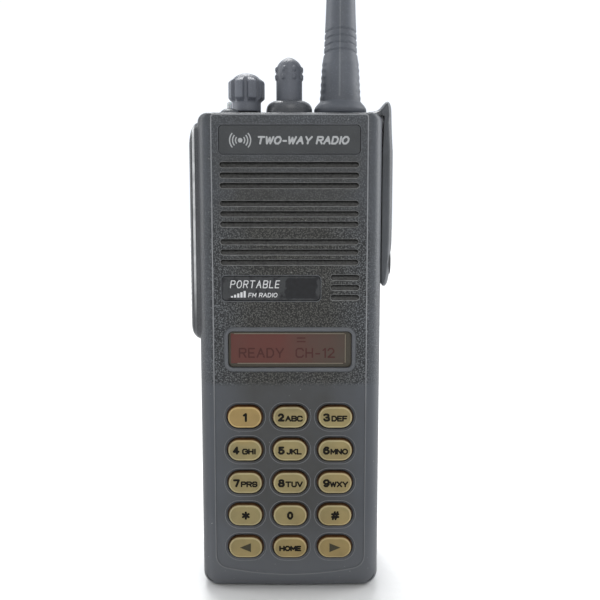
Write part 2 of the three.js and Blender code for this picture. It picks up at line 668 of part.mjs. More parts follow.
add("front_housing", frontHousing(), FINISH.casing);
add("main_seal", mainSeal(), FINISH.rubber);
add("rear_chassis", rearChassis(), FINISH.alloy);
add("top_panel", topPanel(), FINISH.casing);
add("name_plate", namePlate(), FINISH.plate);
add("model_plate", modelPlate(), FINISH.plate);
add("display_lens", displayLens(), FINISH.glass);
add("display_module", displayModule(), FINISH.plate);
add("speaker_felt", speakerFelt(), FINISH.felt);
add("speaker", speaker(), FINISH.steel);
add("microphone", microphone(), FINISH.steel);
add("keypad_mat", keypadMat(), FINISH.rubber);
add("main_board", mainBoard(), FINISH.board);
add("rf_board", rfBoard(), FINISH.board);
add("rf_shield", rfShield(), FINISH.steel);
add("select_switch", rotarySwitch(), FINISH.steel, [SELECT.x, KNOB_Y, 0]);
add("volume_switch", rotarySwitch(), FINISH.steel, [VOLUME.x, KNOB_Y, 0]);
add("antenna_socket", antennaSocket(), FINISH.brass, [ANTENNA.x, KNOB_Y, 0]);
add("lamp_lens", lampLens(), FINISH.lamp, [LAMP.x, LAMP.y, 0]);
add("contact_block", contactBlock(), FINISH.brass);
add("side_switch_strip", sideSwitchStrip(), FINISH.felt);
add("accessory_port", accessoryPort(), FINISH.brass);
screwPlaces.forEach(({ x, z }, i) => add(`chassis_screw_${i + 1}`, chassisScrew(), FINISH.steel, [x, 0, z]));

keys.forEach(({ name, x, z }) => add(name, keyCap(), FINISH.key, [x, 0, z]));
add("select_knob", selectKnob(), FINISH.knob, [SELECT.x, KNOB_Y, 0]);
add("zone_ring", zoneRing(), FINISH.rubber, [SELECT.x, KNOB_Y, 0]);
add("volume_knob", volumeKnob(), FINISH.knob, [VOLUME.x, KNOB_Y, 0]);
add("volume_collar", volumeCollar(), FINISH.rubber, [VOLUME.x, KNOB_Y, 0]);
add("toggle_lever", toggleLever(), FINISH.steel, [0, REAR_CONTROL_Y, 160.5]);
add("emergency_button", emergencyButton(), FINISH.orange, [SELECT.x, REAR_CONTROL_Y - 0.6, 0]);
add("antenna_stud", antennaStud(), FINISH.brass, [ANTENNA.x, KNOB_Y, 0]);
add("antenna_whip", antennaWhip(), FINISH.whip, [ANTENNA.x, KNOB_Y, 0]);

add("side_grip", sideGrip(), FINISH.rubber);
add("ptt_bar", pttBar(), FINISH.rubber);
for (const [place, z] of Object.entries(SIDE_BUTTONS))
  add(`side_button_${place}`, sideButton(), FINISH.rubber, [0, SIDE_GRIP.centreY, z]);

add("port_cover", portCover(), FINISH.casing);
add("cover_screw", coverScrew(), FINISH.steel, [0, PORT.y, PORT.screwZ]);

add("battery_shell", batteryShell(), FINISH.casing);
add("battery_face", batteryFace(), FINISH.casing);
add("cell_pack", cellPack(), FINISH.cells);
add("battery_latch", batteryLatch(), FINISH.casing);

export default radio;
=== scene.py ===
"""A handheld two-way radio standing on a pale floor.

Shapes are written in millimetres in the part's own frame (+Z up, the keypad faces -Y)
and become metres in Shape.mesh.
"""
from math import atan, atan2, cos, degrees, hypot, pi, radians, sin

import bmesh
import bpy
from mathutils import Matrix, Vector
from mathutils.geometry import delaunay_2d_cdt


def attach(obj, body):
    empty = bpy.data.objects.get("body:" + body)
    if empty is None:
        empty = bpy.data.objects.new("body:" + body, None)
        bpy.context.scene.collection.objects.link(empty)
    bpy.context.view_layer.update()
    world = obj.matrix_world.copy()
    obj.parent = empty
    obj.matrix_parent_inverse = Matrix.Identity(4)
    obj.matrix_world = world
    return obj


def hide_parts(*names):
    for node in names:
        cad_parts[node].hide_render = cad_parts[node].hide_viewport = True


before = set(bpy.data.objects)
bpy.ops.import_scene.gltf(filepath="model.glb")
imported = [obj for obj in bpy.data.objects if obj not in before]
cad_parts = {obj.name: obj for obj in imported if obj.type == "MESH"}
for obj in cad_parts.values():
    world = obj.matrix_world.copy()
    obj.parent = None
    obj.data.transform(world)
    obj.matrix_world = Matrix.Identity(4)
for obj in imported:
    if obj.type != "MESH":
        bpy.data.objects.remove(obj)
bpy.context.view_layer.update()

# ---- sizes in millimetres ----

MM = 0.001
CASE_HALF, FRONT_HALF, CASE_TOP, CASE_FOOT_RADIUS = 31.1, 30.3, 162, 4.9
PARTING_Y, SIDE_Y, CREST_Y, PANEL_Y, KEYPAD_Y, INNER_Y = -3, -15, -20.5, -20.2, -20.06, -18.5
PANEL_HALF, PANEL_FOOT, PANEL_TOP, PANEL_FOOT_RADIUS = 25.6, 5.4, 161.3, 4.6
STEP_Z = 72.7
SIDE_STATIONS = (16, 24, 34, 44, 54, 64, 72.2, STEP_Z, 86, 100, 114, 128, 142, 150, 156)
SLOT_HALF = 0.85
WINDOW = (-20.6, 78.1, 20.6, 90.3)
KEY_SIZE, KEY_RADIUS = (11.4, 7.25), 3.55
KEY_PITCH, KEY_TOP_ROW = (15.25, 11.44), 61.2
KEY_LEGENDS = (
    ("1", "1", ""), ("2", "2", "ABC"), ("3", "3", "DEF"),
    ("4", "4", "GHI"), ("5", "5", "JKL"), ("6", "6", "MNO"),
    ("7", "7", "PRS"), ("8", "8", "TUV"), ("9", "9", "WXY"),
    ("star", "*", ""), ("0", "0", ""), ("hash", "#", ""),
    ("left", "", ""), ("home", "", "HOME"), ("right", "", ""),
)
FIRST_KEY = (-0.01525, -0.0209, 0.0612)  # metres
KEY_TOP_Y, INK_THICK = -20.98, 0.02
SELECT_X, VOLUME_X, ANTENNA_X, KNOB_Y = -14.8, -0.3, 17.05, -4.5
LAMP_X, LAMP_Y = -20, -11.5
COVER_INNER = 31.4
SIDE_BUTTONS = (("lower", 130.5), ("middle", 139), ("top", 147.5))
BUTTON_Y = 9.7
REAR_HALF, BATTERY_HALF = 30.8, 30.7
TO_LEFT = Matrix.Rotation(-pi / 2, 4, "Z")
TO_TOP = Matrix.Rotation(-pi / 2, 4, "X")
TO_BACK = Matrix.Rotation(pi, 4, "Z")
STAY = Matrix.Identity(4)

# Each character is a few strokes on a grid ten units high.
# A stroke lists the x of its points, then their z, each as one digit in base 16.
GLYPHS = {
    "A": "05A/0A0 28/44", "B": "0079970/0AA9755 79970/54100", "C": "A820028A/8AA82002",
    "D": "0069960/0AA7300", "E": "8008/AA00 07/55", "F": "800/AA0 07/55", "G": "A820028AA6/8AA8200255",
    "H": "00/0A 99/0A 09/55", "I": "11/0A", "J": "77520/A2002", "K": "00/0A 90/A4 39/60",
    "L": "008/A00", "M": "005AA/0A3A0", "N": "0099/0A0A", "O": "30037AA73/037AA7300",
    "P": "0079970/0AA9655", "R": "0079970/0AA9655 59/50", "S": "972002799720/8AA865542002",
    "T": "0A/AA 55/A0", "U": "002799/A2002A", "V": "05A/A0A", "W": "0369C/A090A", "X": "09/0A 09/A0",
    "Y": "05A/A4A 55/40", "-": "16/44", " ": "", "0": "300369963/037AA7300", "1": "144/8A0",
    "2": "0268809/8AA8600", "3": "0268864/9AA9655 699720/541002", "4": "6609/0A33",
    "5": "8113699620/AA56642002", "6": "863002699620/9AA720024664", "7": "094/AA0",
    "8": "3113688630027996/579AA97554200245", "9": "136997300379/10038AA86446",
    "*": "55/19 19/37 19/73", "#": "25/0A 69/0A 1A/33 1A/77",
}


# ---- outlines ----

def arc(cx, cz, radius, start, end, steps):
    """Points of an arc from start to end, in degrees."""
    turns = [radians(start + (end - start) * i / steps) for i in range(steps + 1)]
    return [(cx + radius * cos(a), cz + radius * sin(a)) for a in turns]


def circle(cx, cz, radius, points):
    return arc(cx, cz, radius, 0, 360, points)[:-1]


def rounded(x0, z0, x1, z1, radius, grow=0, steps=7):
    """A rounded rectangle, counterclockwise from the front, with as many points at any size."""
    x0, z0, x1, z1 = x0 - grow, z0 - grow, x1 + grow, z1 + grow
    r = max(min(radius + grow, (x1 - x0) / 2, (z1 - z0) / 2), 0.02)
    return (
        arc(x1 - r, z0 + r, r, -90, 0, steps)
        + arc(x1 - r, z1 - r, r, 0, 90, steps)
        + arc(x0 + r, z1 - r, r, 90, 180, steps)
        + arc(x0 + r, z0 + r, r, 180, 270, steps)
    )


def box(x0, z0, x1, z1, radius, steps=7):
    """A rounded rectangle that takes how far it grows."""
    return lambda grow: rounded(x0, z0, x1, z1, radius, grow, steps)


def disc(cx, cz, radius, points):
    """A circle that takes how far it grows."""
    return lambda grow: circle(cx, cz, radius + grow, points)


def case_outline(half, foot, top, foot_radius, top_radius, bow=0):
    """The case from the front: a foot bowed by bow per square millimetre, straight sides, a flat top."""
    tilt = 0
    for _ in range(3):
        start_x = half - foot_radius + foot_radius * sin(tilt)
        tilt = atan(2 * bow * start_x)
    start_z = foot + bow * start_x ** 2
    centre_z = start_z + foot_radius * cos(tilt)
    edge = [(start_x * (i / 10 - 1), foot + bow * (start_x * (i / 10 - 1)) ** 2) for i in range(21)]
    right = arc(half - foot_radius, centre_z, foot_radius, -90 + degrees(tilt), 0, 8)[1:]
    right += [(half, z) for z in SIDE_STATIONS]
    right += arc(half - top_radius, top - top_radius, top_radius, 0, 90, 6)
    crown = [((half - top_radius) * (1 - i / 5), top) for i in range(1, 10)]
    left = [(-x, z) for x, z in reversed(right)]
    return edge + right + crown + left


def at_depth(points, y):
    return [(x, y, z) for x, z in points]


def smooth(value):
    value = min(max(value, 0), 1)
    return value * value * (3 - 2 * value)


# ---- meshes ----

class Shape:
    """Points in millimetres and faces with a material number, until finish makes the object."""

    def __init__(self):
        self.points, self.faces, self.kinds = [], [], []

    def loop(self, points):
        start = len(self.points)
        self.points.extend(points)
        return list(range(start, len(self.points)))

    def face(self, corners, kind=0):
        self.faces.append(tuple(corners))
        self.kinds.append(kind)

    def bridge(self, a, b, kind=0):
        """Quads from loop a to loop b: out of the shape when b is nearer the front."""
        for i in range(len(a)):
            j = (i + 1) % len(a)
            self.face((a[i], a[j], b[j], b[i]), kind)

    def skin(self, rings, kind=0, first=False, last=False):
        """Rings joined in order, with the first or last closed by a flat face if asked."""
        loops = [self.loop(ring) for ring in rings]
        for a, b in zip(loops, loops[1:]):
            self.bridge(a, b, kind)
        if first:
            self.face(reversed(loops[0]), kind)
        if last:
            self.face(loops[-1], kind)
        return loops

    def form(self, outline, steps, kind=0, floor=None, closed=False):
        """A recess or boss of a flat face: outline(grow) at each (grow, y), ending in a floor.

        The floor's material number is floor. A closed form has a back as well, as a solid of its own.
        """
        loops = self.skin([at_depth(outline(grow), y) for grow, y in steps], kind, first=closed)
        if floor is not None:
            self.face(loops[-1], floor)
        return loops[0], loops[-1]

    def forms(self, outlines, steps, kind=0, floor=None):
        """The same form at each outline: all the first loops, then all the last ones."""
        made = [self.form(outline, steps, kind, floor) for outline in outlines]
        return [first for first, _ in made], [last for _, last in made]

    def fill(self, outline, holes=(), kind=0, to_back=False):
        """Triangles between an outline and its holes, which are loops already made."""
        loops = [outline, *holes]
        index = [i for loop in loops for i in loop]
        flat = [Vector((self.points[i][0], self.points[i][2])) for i in index]
        areas, start = [], 0
        for loop in loops:
            areas.append(list(range(start, start + len(loop))))
            start += len(loop)
        found = delaunay_2d_cdt(flat, [], areas, 1, 1e-5)
        for triangle, sources in zip(found[2], found[5]):
            if sources == [0]:
                corners = [index[found[3][v][0]] for v in triangle]
                self.face(reversed(corners) if to_back else corners, kind)

    def turn(self, profile, segments, radius_at=lambda r, z, angle: r):
        """A profile of (radius, z) turned about Z and closed at both ends; radius_at can shape it."""
        angles = [2 * pi * i / segments for i in range(segments)]
        rings = []
        for r, z in profile:
            wide = [radius_at(r, z, angle) for angle in angles]
            rings.append([(w * cos(a), w * sin(a), z) for w, a in zip(wide, angles)])
        self.skin(rings, first=True, last=True)
        return self

    def mesh(self, name, place):
        """The shape in metres, moved to its place."""
        mesh = bpy.data.meshes.new(name)
        mesh.from_pydata([[c * MM for c in p] for p in self.points], [], self.faces)
        mesh.transform(place)
        return mesh

    def finish(self, name, materials, body, slot, nodes=(), place=STAY, sharp=38, weld=True):
        """Makes the object, riding on a body and standing for its CAD nodes."""
        mesh = self.mesh(name, place)
        for material in materials:
            mesh.materials.append(material)
        mesh.polygons.foreach_set("material_index", self.kinds)
        piece = new_object(name, mesh)
        if weld:
            made = bmesh.new()
            made.from_mesh(mesh)
            bmesh.ops.remove_doubles(made, verts=made.verts, dist=2e-6)
            made.to_mesh(mesh)
            made.free()
        shade(mesh, sharp)
        piece.modifiers.new("even normals", "WEIGHTED_NORMAL").keep_sharp = True
        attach(piece, body)
        if nodes:
            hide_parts(*nodes)
        return piece


def new_object(name, data):
    made = bpy.data.objects.new(name, data)
    bpy.context.scene.collection.objects.link(made)
    return made


def shade(mesh, sharp=38):
    """Smooth shading, with edges of more than sharp degrees kept sharp."""
    mesh.shade_smooth()
    mesh.set_sharp_from_angle(angle=radians(sharp))


def shifted(x, y, z):
    return Matrix.Translation(Vector((x, y, z)) * MM)


def curve_through(points, steps):
    """A smooth line through a few (radius, z) points."""
    made = []
    ends = [points[0], *points, points[-1]]
    for a, b, c, d in zip(ends, ends[1:], ends[2:], ends[3:]):
        for i in range(steps):
            t = i / steps
            made.append(tuple(
                0.5 * (2 * b[k] + (c[k] - a[k]) * t + (2 * a[k] - 5 * b[k] + 4 * c[k] - d[k]) * t * t
                       + (3 * b[k] - a[k] - 3 * c[k] + d[k]) * t ** 3)
                for k in (0, 1)
            ))
    return made + [points[-1]]


# ---- materials ----

def add_node(tree, kind, inputs=(), **settings):
    """A shader node with its settings, and its inputs linked to sockets or set to values."""
    made = tree.nodes.new("ShaderNode" + kind)
    for key, value in settings.items():
        setattr(made, key, value)
    for key, value in dict(inputs).items():
        if isinstance(value, bpy.types.NodeSocket):
            tree.links.new(value, made.inputs[key])
        else:
            made.inputs[key].default_value = value
    return made


class Look:
    """A Principled material with a few helpers for its nodes."""

    def __init__(self, name, roughness=0.5, metallic=0, specular=0.5):
        self.material = bpy.data.materials.new(name)
        self.material.use_nodes = True
        self.tree = self.material.node_tree
        self.shader = self.tree.nodes["Principled BSDF"]
        plain = {"Roughness": roughness, "Metallic": metallic, "Specular IOR Level": specular}
        for socket, value in plain.items():
            self.shader.inputs[socket].default_value = value
        coordinates = self.node("TexCoord").outputs
        self.place, self.normal = coordinates["Object"], coordinates["Normal"]

    def node(self, kind, inputs=(), **settings):
        return add_node(self.tree, kind, inputs, **settings)

    def axes(self, vector=None):
        """The X, Y and Z of a vector, or of the place on the object."""
        return self.node("SeparateXYZ", {0: vector or self.place}).outputs

    def noise(self, size, detail=2, roughness=0.5):
        """Noise whose features are about size millimetres across, from 0 to 1."""
        return self.node("TexNoise", {"Vector": self.place, "Scale": 1 / MM / size, "Detail": detail,
                                      "Roughness": roughness}).outputs["Fac"]

    def cells(self, size):
        """Distance from the middle of each of many rounded cells."""
        return self.node("TexVoronoi", {"Vector": self.place, "Scale": 1 / MM / size, "Smoothness": 0.6},
                         feature="SMOOTH_F1").outputs["Distance"]

    def remap(self, value, low, high, to_low=0, to_high=1):
        return self.node("MapRange", {"Value": value, "From Min": low, "From Max": high, "To Min": to_low,
                                      "To Max": to_high}).outputs["Result"]

    def spread(self, noise, low=0, high=1):
        """Noise, which is mostly from 0.3 to 0.7, spread from low to high."""
        return self.remap(noise, 0.3, 0.7, low, high)

    def blend(self, factor, a, b, mode="MIX"):
        """From colour a to colour b, each a socket or three numbers."""
        a, b = (c if isinstance(c, bpy.types.NodeSocket) else (*c, 1) for c in (a, b))
        return self.node("Mix", {0: factor, 6: a, 7: b}, data_type="RGBA", blend_type=mode).outputs[2]

    def maths(self, operation, first, *others):
        """The operation on one value, or on several from left to right."""
        for other in others or (0,):
            first = self.node("Math", {0: first, 1: other}, operation=operation).outputs[0]
        return first

    def finish(self, color, relief, depth, gloss=None):
        """The material, with relief of depth millimetres, and a roughness that varies if gloss is given."""
        bump = self.node("Bump", {"Height": relief, "Distance": depth * MM, "Strength": 1})
        wires = {"Base Color": color, "Roughness": gloss, "Normal": bump.outputs["Normal"]}
        for name, socket in wires.items():
            if socket:
                self.tree.links.new(socket, self.shader.inputs[name])
        return self.material


def tone(color, share):
    return [c * share for c in color]


def moulded(name, color, roughness, grain, depth, pebbled=False):
    """Moulded plastic or rubber: a fine grain in relief, a slow change of tone and a little dust."""
    look = Look(name, specular=0.4)
    relief = fine = look.noise(grain, 3, 0.6)
    body = look.blend(look.remap(look.noise(14, 3), 0.35, 0.65), tone(color, 0.88), tone(color, 1.12))
    if pebbled:
        relief = look.maths("SUBTRACT", look.maths("MULTIPLY", fine, 0.5), look.cells(grain * 1.6))
        body = look.blend(look.remap(relief, -0.5, 0.15), tone(color, 0.45), tone(color, 1.75))
    speck = look.maths("MULTIPLY", look.remap(look.noise(grain * 1.6), 0.58, 0.72), 0.4)
    gloss = look.spread(fine, roughness - 0.08, roughness + 0.1)
    return look.finish(look.blend(speck, body, tone(color, 1.9)), relief, depth, gloss)


def case_plastic():
    """The case: coarse grain on the front above the step, smooth and paler below it, with painted shade
    along its side edges.
    """
    look = Look("case_plastic", specular=0.3)
    x, y, z = look.axes()
    across = look.maths("ABSOLUTE", x)
    panel = look.remap(across, 0.0255, 0.0265, 1, 0.3)
    front = look.remap(y, -0.0165, -0.0155, 1, 0.15)
    grained = look.maths("MULTIPLY", look.remap(z, 0.0715, 0.0735), panel, front,
                         look.remap(z, 0.138, 0.118, 0.4, 1))
    # Paler and bluer towards the sides: partly the smoother side bands' own tone, partly a painted sheen
    # from the bright room beside the case. It also grows paler towards the top.
    pale = look.maths("MAXIMUM", look.remap(across, 0.012, 0.029), look.remap(z, 0.125, 0.16, 0, 0.8))
    pale = look.maths("ADD", pale, look.remap(z, 0.0732, 0.0722, 0, 0.22),
                      look.spread(look.noise(11, 3), -0.15, 0.15))
    body = look.blend(pale, (0.039, 0.039, 0.037), (0.064, 0.07, 0.08))
    # Painted light thrown up from the floor: paler towards the foot, below about 30 mm.
    body = look.blend(look.remap(z, 0.03, 0.006), body, (0.085, 0.09, 0.1))
    fine = look.noise(0.3, 3, 0.6)
    pebbles = look.maths("SUBTRACT", 0.6, look.cells(0.5))
    shade_of_grain = look.blend(look.remap(pebbles, 0.05, 0.45), (0.33, 0.33, 0.33), (2.35, 2.35, 2.25))
    body = look.blend(1, body, look.blend(grained, (1, 1, 1), shade_of_grain), "MULTIPLY")
    # Painted shade: darker along the left edge, and along the right edge below about 105 mm.
    left = look.remap(x, -0.0275, -0.0295)
    right = look.maths("MULTIPLY", look.remap(x, 0.0285, 0.0302), look.remap(z, 0.108, 0.1))
    corner = look.blend(look.maths("MAXIMUM", left, right), (1, 1, 1), (0.5, 0.5, 0.5))
    body = look.blend(1, body, corner, "MULTIPLY")
    dust = look.remap(look.noise(0.8, 1), 0.765, 0.79, 0, 0.5)
    relief = look.maths("ADD", look.maths("MULTIPLY", grained, pebbles), look.maths("MULTIPLY", fine, 0.2))
    return look.finish(look.blend(dust, body, (0.3, 0.3, 0.29)), relief, 0.22, look.spread(fine, 0.3, 0.44))


def edge_highlight_plastic(name, plain, worn, low, high):
    """A moulded edge with a painted highlight, going from plain to worn in patches between the heights low
    and high, in metres; both colours are painted highlight, paler than the plastic beside the edge.
    """
    look = Look(name, roughness=0.34, specular=0.4)
    patchy = look.remap(look.noise(3, 3), 0.25, 0.6, 0.6, 1)
    # The upper colour's share of the painted highlight, in patches.
    upper_share = look.maths("MULTIPLY", look.remap(look.axes()["Z"], low, high), patchy)
    return look.finish(look.blend(upper_share, plain, worn), look.noise(0.3, 3), 0.02)


def painted_lip_light():
    """The rims of the slots, with painted light and shade: pale where they face up and dark where they face
    down.
    """
    look = Look("slot_lip_painted_shading", roughness=0.4, specular=0.4)
    up = look.remap(look.axes(look.normal)["Z"], -0.4, 0.7)
    uneven = look.maths("ADD", up, look.spread(look.noise(2, 3), -0.2, 0.1))
    body = look.blend(uneven, (0.01, 0.01, 0.01), (0.26, 0.265, 0.265))
    return look.finish(body, look.noise(0.3, 3), 0.02)


def label_face():
    """The type label, with a darker worn patch on its right half."""
    look = Look("type_label_face", roughness=0.38, specular=0.3)
    x, _, z = look.axes()
    beside = look.maths("ABSOLUTE", look.remap(x, -0.0018, 0.0094, -1, 1))
    above = look.maths("ABSOLUTE", look.remap(z, 0.1009, 0.1084, -1, 1))
    ragged = look.spread(look.noise(1.6, 4), -0.14, 0.14)
    patch = look.remap(look.maths("ADD", look.maths("MAXIMUM", beside, above), ragged), 1, 0.86)
    plain = look.blend(look.noise(6, 3), (0.03, 0.032, 0.034), (0.04, 0.042, 0.045))
    worn = look.blend(look.noise(1.2, 4), (0.003, 0.003, 0.004), (0.014, 0.015, 0.018))
    return look.finish(look.blend(patch, plain, worn), look.maths("ADD", look.noise(0.25, 3), patch), 0.012,
                       look.spread(look.noise(0.6, 3), 0.3, 0.45))


def key_plastic(name, color, share):
    """The keys' amber plastic, a little uneven and warmest on the first key."""
    look = Look(name)
    worn = look.blend(look.spread(look.noise(6)), tone(color, 0.9), tone(color, share))
    warm = look.blend(look.remap(look.noise(40, 1), 0.4, 0.6), (0.96, 1, 1.06), (1.04, 0.98, 0.92))
    away = look.node("VectorMath", {0: look.place, 1: FIRST_KEY}, operation="DISTANCE")
    near = look.remap(away.outputs["Value"], 0.007, 0.01, 1, 0)
    warm = look.blend(near, warm, (1.12, 0.98, 0.8))
    return look.finish(look.blend(1, worn, warm, "MULTIPLY"), look.noise(0.3, 3), 0.012,
                       look.spread(look.noise(0.5, 3), 0.42, 0.58))


def metal(name, color, roughness, metallic=1):
    look = Look(name, metallic=metallic)
    fine = look.noise(0.15, 4)
    body = look.blend(look.noise(5, 3), tone(color, 0.8), tone(color, 1.1))
    return look.finish(body, fine, 0.006, look.spread(fine, roughness - 0.08, roughness + 0.12))


def screen_material():
    """A display behind clear plastic: dim red on the left fading to grey olive on the right."""
    look = Look("display_glow", roughness=0.14, specular=0.22)
    across = look.remap(look.axes()["X"], -0.004, 0.017)
    uneven = look.remap(look.maths("ADD", across, look.spread(look.noise(9), -0.12, 0.12)), 0, 1)
    body = look.blend(uneven, (0.092, 0.03, 0.024), (0.06, 0.046, 0.036))
    return look.finish(body, look.noise(0.6), 0.002)


def print_material(name, color, roughness=0.45, metallic=0, specular=0.5):
    """Ink or foil, a little uneven."""
    look = Look(name, roughness, metallic, specular)
    body = look.blend(look.noise(0.6, 3), tone(color, 0.8), tone(color, 1.15))
    return look.finish(body, look.noise(0.2), 0.003)


def lamp_material():
    """A milky lamp with faint moulded flutes."""
    look = Look("milky_lamp", roughness=0.2)
    look.shader.inputs["Subsurface Weight"].default_value = 0.2
    look.shader.inputs["Subsurface Scale"].default_value = MM
    flutes = look.node("TexWave", {"Vector": look.place, "Scale": 500, "Distortion": 0.5})
    body = look.blend(flutes.outputs["Fac"], (0.3, 0.31, 0.33), (0.62, 0.65, 0.7))
    return look.finish(body, look.noise(0.3), 0.01)


def floor_material():
    look = Look("pale_floor", roughness=0.6)
    body = look.blend(look.noise(30, 4), (0.6, 0.605, 0.61), (0.67, 0.67, 0.67))
    return look.finish(body, look.noise(4, 3), 0.15)


CASE = case_plastic()
SATIN = moulded("smooth_plastic", (0.052, 0.057, 0.064), 0.38, 0.3, 0.03)
# Painted highlight along the panel's crest, paler still above about 85 mm.
CREST_HIGHLIGHT = edge_highlight_plastic("case_crest_highlight", (0.12, 0.125, 0.132), (0.21, 0.216, 0.228), 0.06, 0.085)
# Painted highlight round each key's dish, a little darker on the upper rows.
DISH_RIM_HIGHLIGHT = edge_highlight_plastic("key_dish_rim_highlight", (0.13, 0.136, 0.145), (0.11, 0.116, 0.124), 0.03, 0.06)
RING = moulded("display_ring", (0.075, 0.08, 0.088), 0.36, 0.3, 0.02)
# Painted highlight along the bezel's front edge, bright above about 110 mm.
BEZEL_HIGHLIGHT = edge_highlight_plastic("bezel_edge_highlight", (0.09, 0.094, 0.1), (0.55, 0.56, 0.57), 0.094, 0.112)
# Painted light and shade on the slot rims.
LIP_PAINTED_LIGHT = painted_lip_light()
HOLE = moulded("case_inside", (0.03, 0.031, 0.033), 0.6, 0.3, 0.02)
RUBBER = moulded("black_rubber", (0.05, 0.053, 0.058), 0.28, 0.25, 0.02)
KNOB = moulded("knob_rubber", (0.095, 0.103, 0.122), 0.5, 0.22, 0.014)
# A paler copy of the knob rubber, for the channel knob.
PALER_KNOB = moulded("paler_knob_rubber", (0.112, 0.121, 0.143), 0.5, 0.22, 0.014)
WHIP = moulded("whip_rubber", (0.078, 0.086, 0.102), 0.5, 0.25, 0.015)
# Paler than the whip: painted highlight on the mould line.
SEAM_HIGHLIGHT = moulded("whip_seam_highlight", (0.12, 0.13, 0.145), 0.45, 0.25, 0.01)
COLLAR = moulded("collar_gloss", (0.078, 0.083, 0.093), 0.3, 0.4, 0.006)
# Darker than the case: painted shade inside the slots.
LOUVRE_SHADED = moulded("louvre_painted_shade", (0.024, 0.024, 0.023), 0.45, 0.4, 0.05, pebbled=True)
FELT = moulded("grille_felt", (0.036, 0.036, 0.034), 0.7, 0.25, 0.06, pebbled=True)
PLATE = moulded("label_plate", (0.035, 0.038, 0.041), 0.42, 0.35, 0.03)
LABEL = label_face()
PAINT = moulded("chassis_paint", (0.05, 0.053, 0.058), 0.42, 0.35, 0.03)
KEY_TOP = key_plastic("key_top", (0.215, 0.165, 0.062), 1.15)
# A darker copy of the key plastic: painted shade on the key sides.
KEY_SIDE_SHADE = key_plastic("key_side_painted_shade", (0.11, 0.052, 0.018), 1.2)
# A paler copy of the key plastic: painted highlight on the rounded rim.
KEY_RIM_HIGHLIGHT = key_plastic("key_rim_painted_highlight", (0.32, 0.26, 0.125), 1.15)
INK = print_material("black_ink", (0.008, 0.007, 0.005), 0.6, specular=0.1)
FADED_INK = print_material("faded_ink", (0.05, 0.045, 0.03), 0.6, specular=0.1)
SILVER = print_material("silver_foil", (0.36, 0.37, 0.38), 0.4, 0.2)
WHITE = print_material("white_foil", (0.6, 0.61, 0.62), 0.4, 0.2)
SEGMENT = print_material("display_segment", (0.05, 0.014, 0.011), 0.14, specular=0.22)
SCREEN_LINE = print_material("display_line", (0.16, 0.135, 0.095))
SCREEN = screen_material()
SCREEN_EDGE = print_material("display_edge", (0.045, 0.039, 0.028), specular=0.3)
BLACK_STEEL = metal("black_steel", (0.06, 0.062, 0.065), 0.4, 0.6)
STEEL = metal("turned_steel", (0.5, 0.51, 0.52), 0.32)
BRASS = metal("plated_brass", (0.62, 0.47, 0.22), 0.3)
ORANGE = moulded("orange_plastic", (0.55, 0.11, 0.025), 0.4, 0.4, 0.01)
LAMP = lamp_material()
BOARD = moulded("circuit_board", (0.03, 0.14, 0.06), 0.4, 0.8, 0.02)
CELLS = metal("cell_sleeve", (0.3, 0.36, 0.4), 0.35, 0.4)


# ---- front housing ----

def crest_depth(z):
    """The raised crest along the panel's edge fades out towards the top."""
    return PANEL_Y + (CREST_Y - PANEL_Y) * smooth((PANEL_TOP - 1.2 - z) / 2.5)


def panel_depth(z):
    return PANEL_Y if z >= STEP_Z - 0.1 else KEYPAD_Y


def panel_outline(shrink):
    return case_outline(PANEL_HALF - shrink, PANEL_FOOT + shrink, PANEL_TOP - shrink,
                        PANEL_FOOT_RADIUS - shrink, 0.8, 0.0048)


def front_edge(shape):
    """The housing's drafted sides, rounded front edge and crest, ending in the panel's own outline."""
    back = case_outline(CASE_HALF, 0, CASE_TOP, CASE_FOOT_RADIUS, 3)
    side = case_outline(FRONT_HALF, 0, CASE_TOP, CASE_FOOT_RADIUS, 3)
    panel = panel_outline(0)
    rings = [at_depth(back, PARTING_Y), at_depth(back, PARTING_Y - 0.3), at_depth(side, SIDE_Y)]
    for i in range(1, 13):
        angle = radians(90 * i / 12)
        share = (1 - cos(angle)) ** 1.04
        rings.append([
            (x0 + (x1 - x0) * share, SIDE_Y + (crest_depth(z1) - SIDE_Y) * sin(angle),
             z0 + (z1 - z0) * share)
            for (x0, z0), (x1, z1) in zip(side, panel)
        ])
    loops = shape.skin(rings, 1)
    lip = loops[-1:]
    # Kind 2, on the crest's first two lip rings, carries its painted highlight.
    for shrink, drop, kind in ((0.25, 0, 2), (0.38, 0.3, 2), (0.46, 0.8, 1), (0.6, 1, 1)):
        lip.append(shape.loop([(x, crest_depth(z) + (panel_depth(z) - crest_depth(z)) * drop, z)
                               for x, z in panel_outline(shrink)]))
        shape.bridge(lip[-2], lip[-1], kind)
    return loops[0], lip[-1]


def slot_outlines():
    """The grille's nine long slots and the three short ones beside the label."""
    slots = [(-22.75, 22.5, 145.05 - 12.5 * group - 3.36 * row) for group in range(3) for row in range(3)]
    slots += [(13.5, 22.9, 108.3 - 3.33 * row) for row in range(3)]
    return [box(x0, z - SLOT_HALF, x1, z + SLOT_HALF, SLOT_HALF, 6) for x0, x1, z in slots]


def key_outline(x, z):
    half_x, half_z = KEY_SIZE[0] / 2, KEY_SIZE[1] / 2
    return box(x - half_x, z - half_z, x + half_x, z + half_z, KEY_RADIUS)


def key_places():
    for index, legend in enumerate(KEY_LEGENDS):
        x = (index % 3 - 1) * KEY_PITCH[0]
        z = KEY_TOP_ROW - (index // 3) * KEY_PITCH[1]
        yield legend, x, z


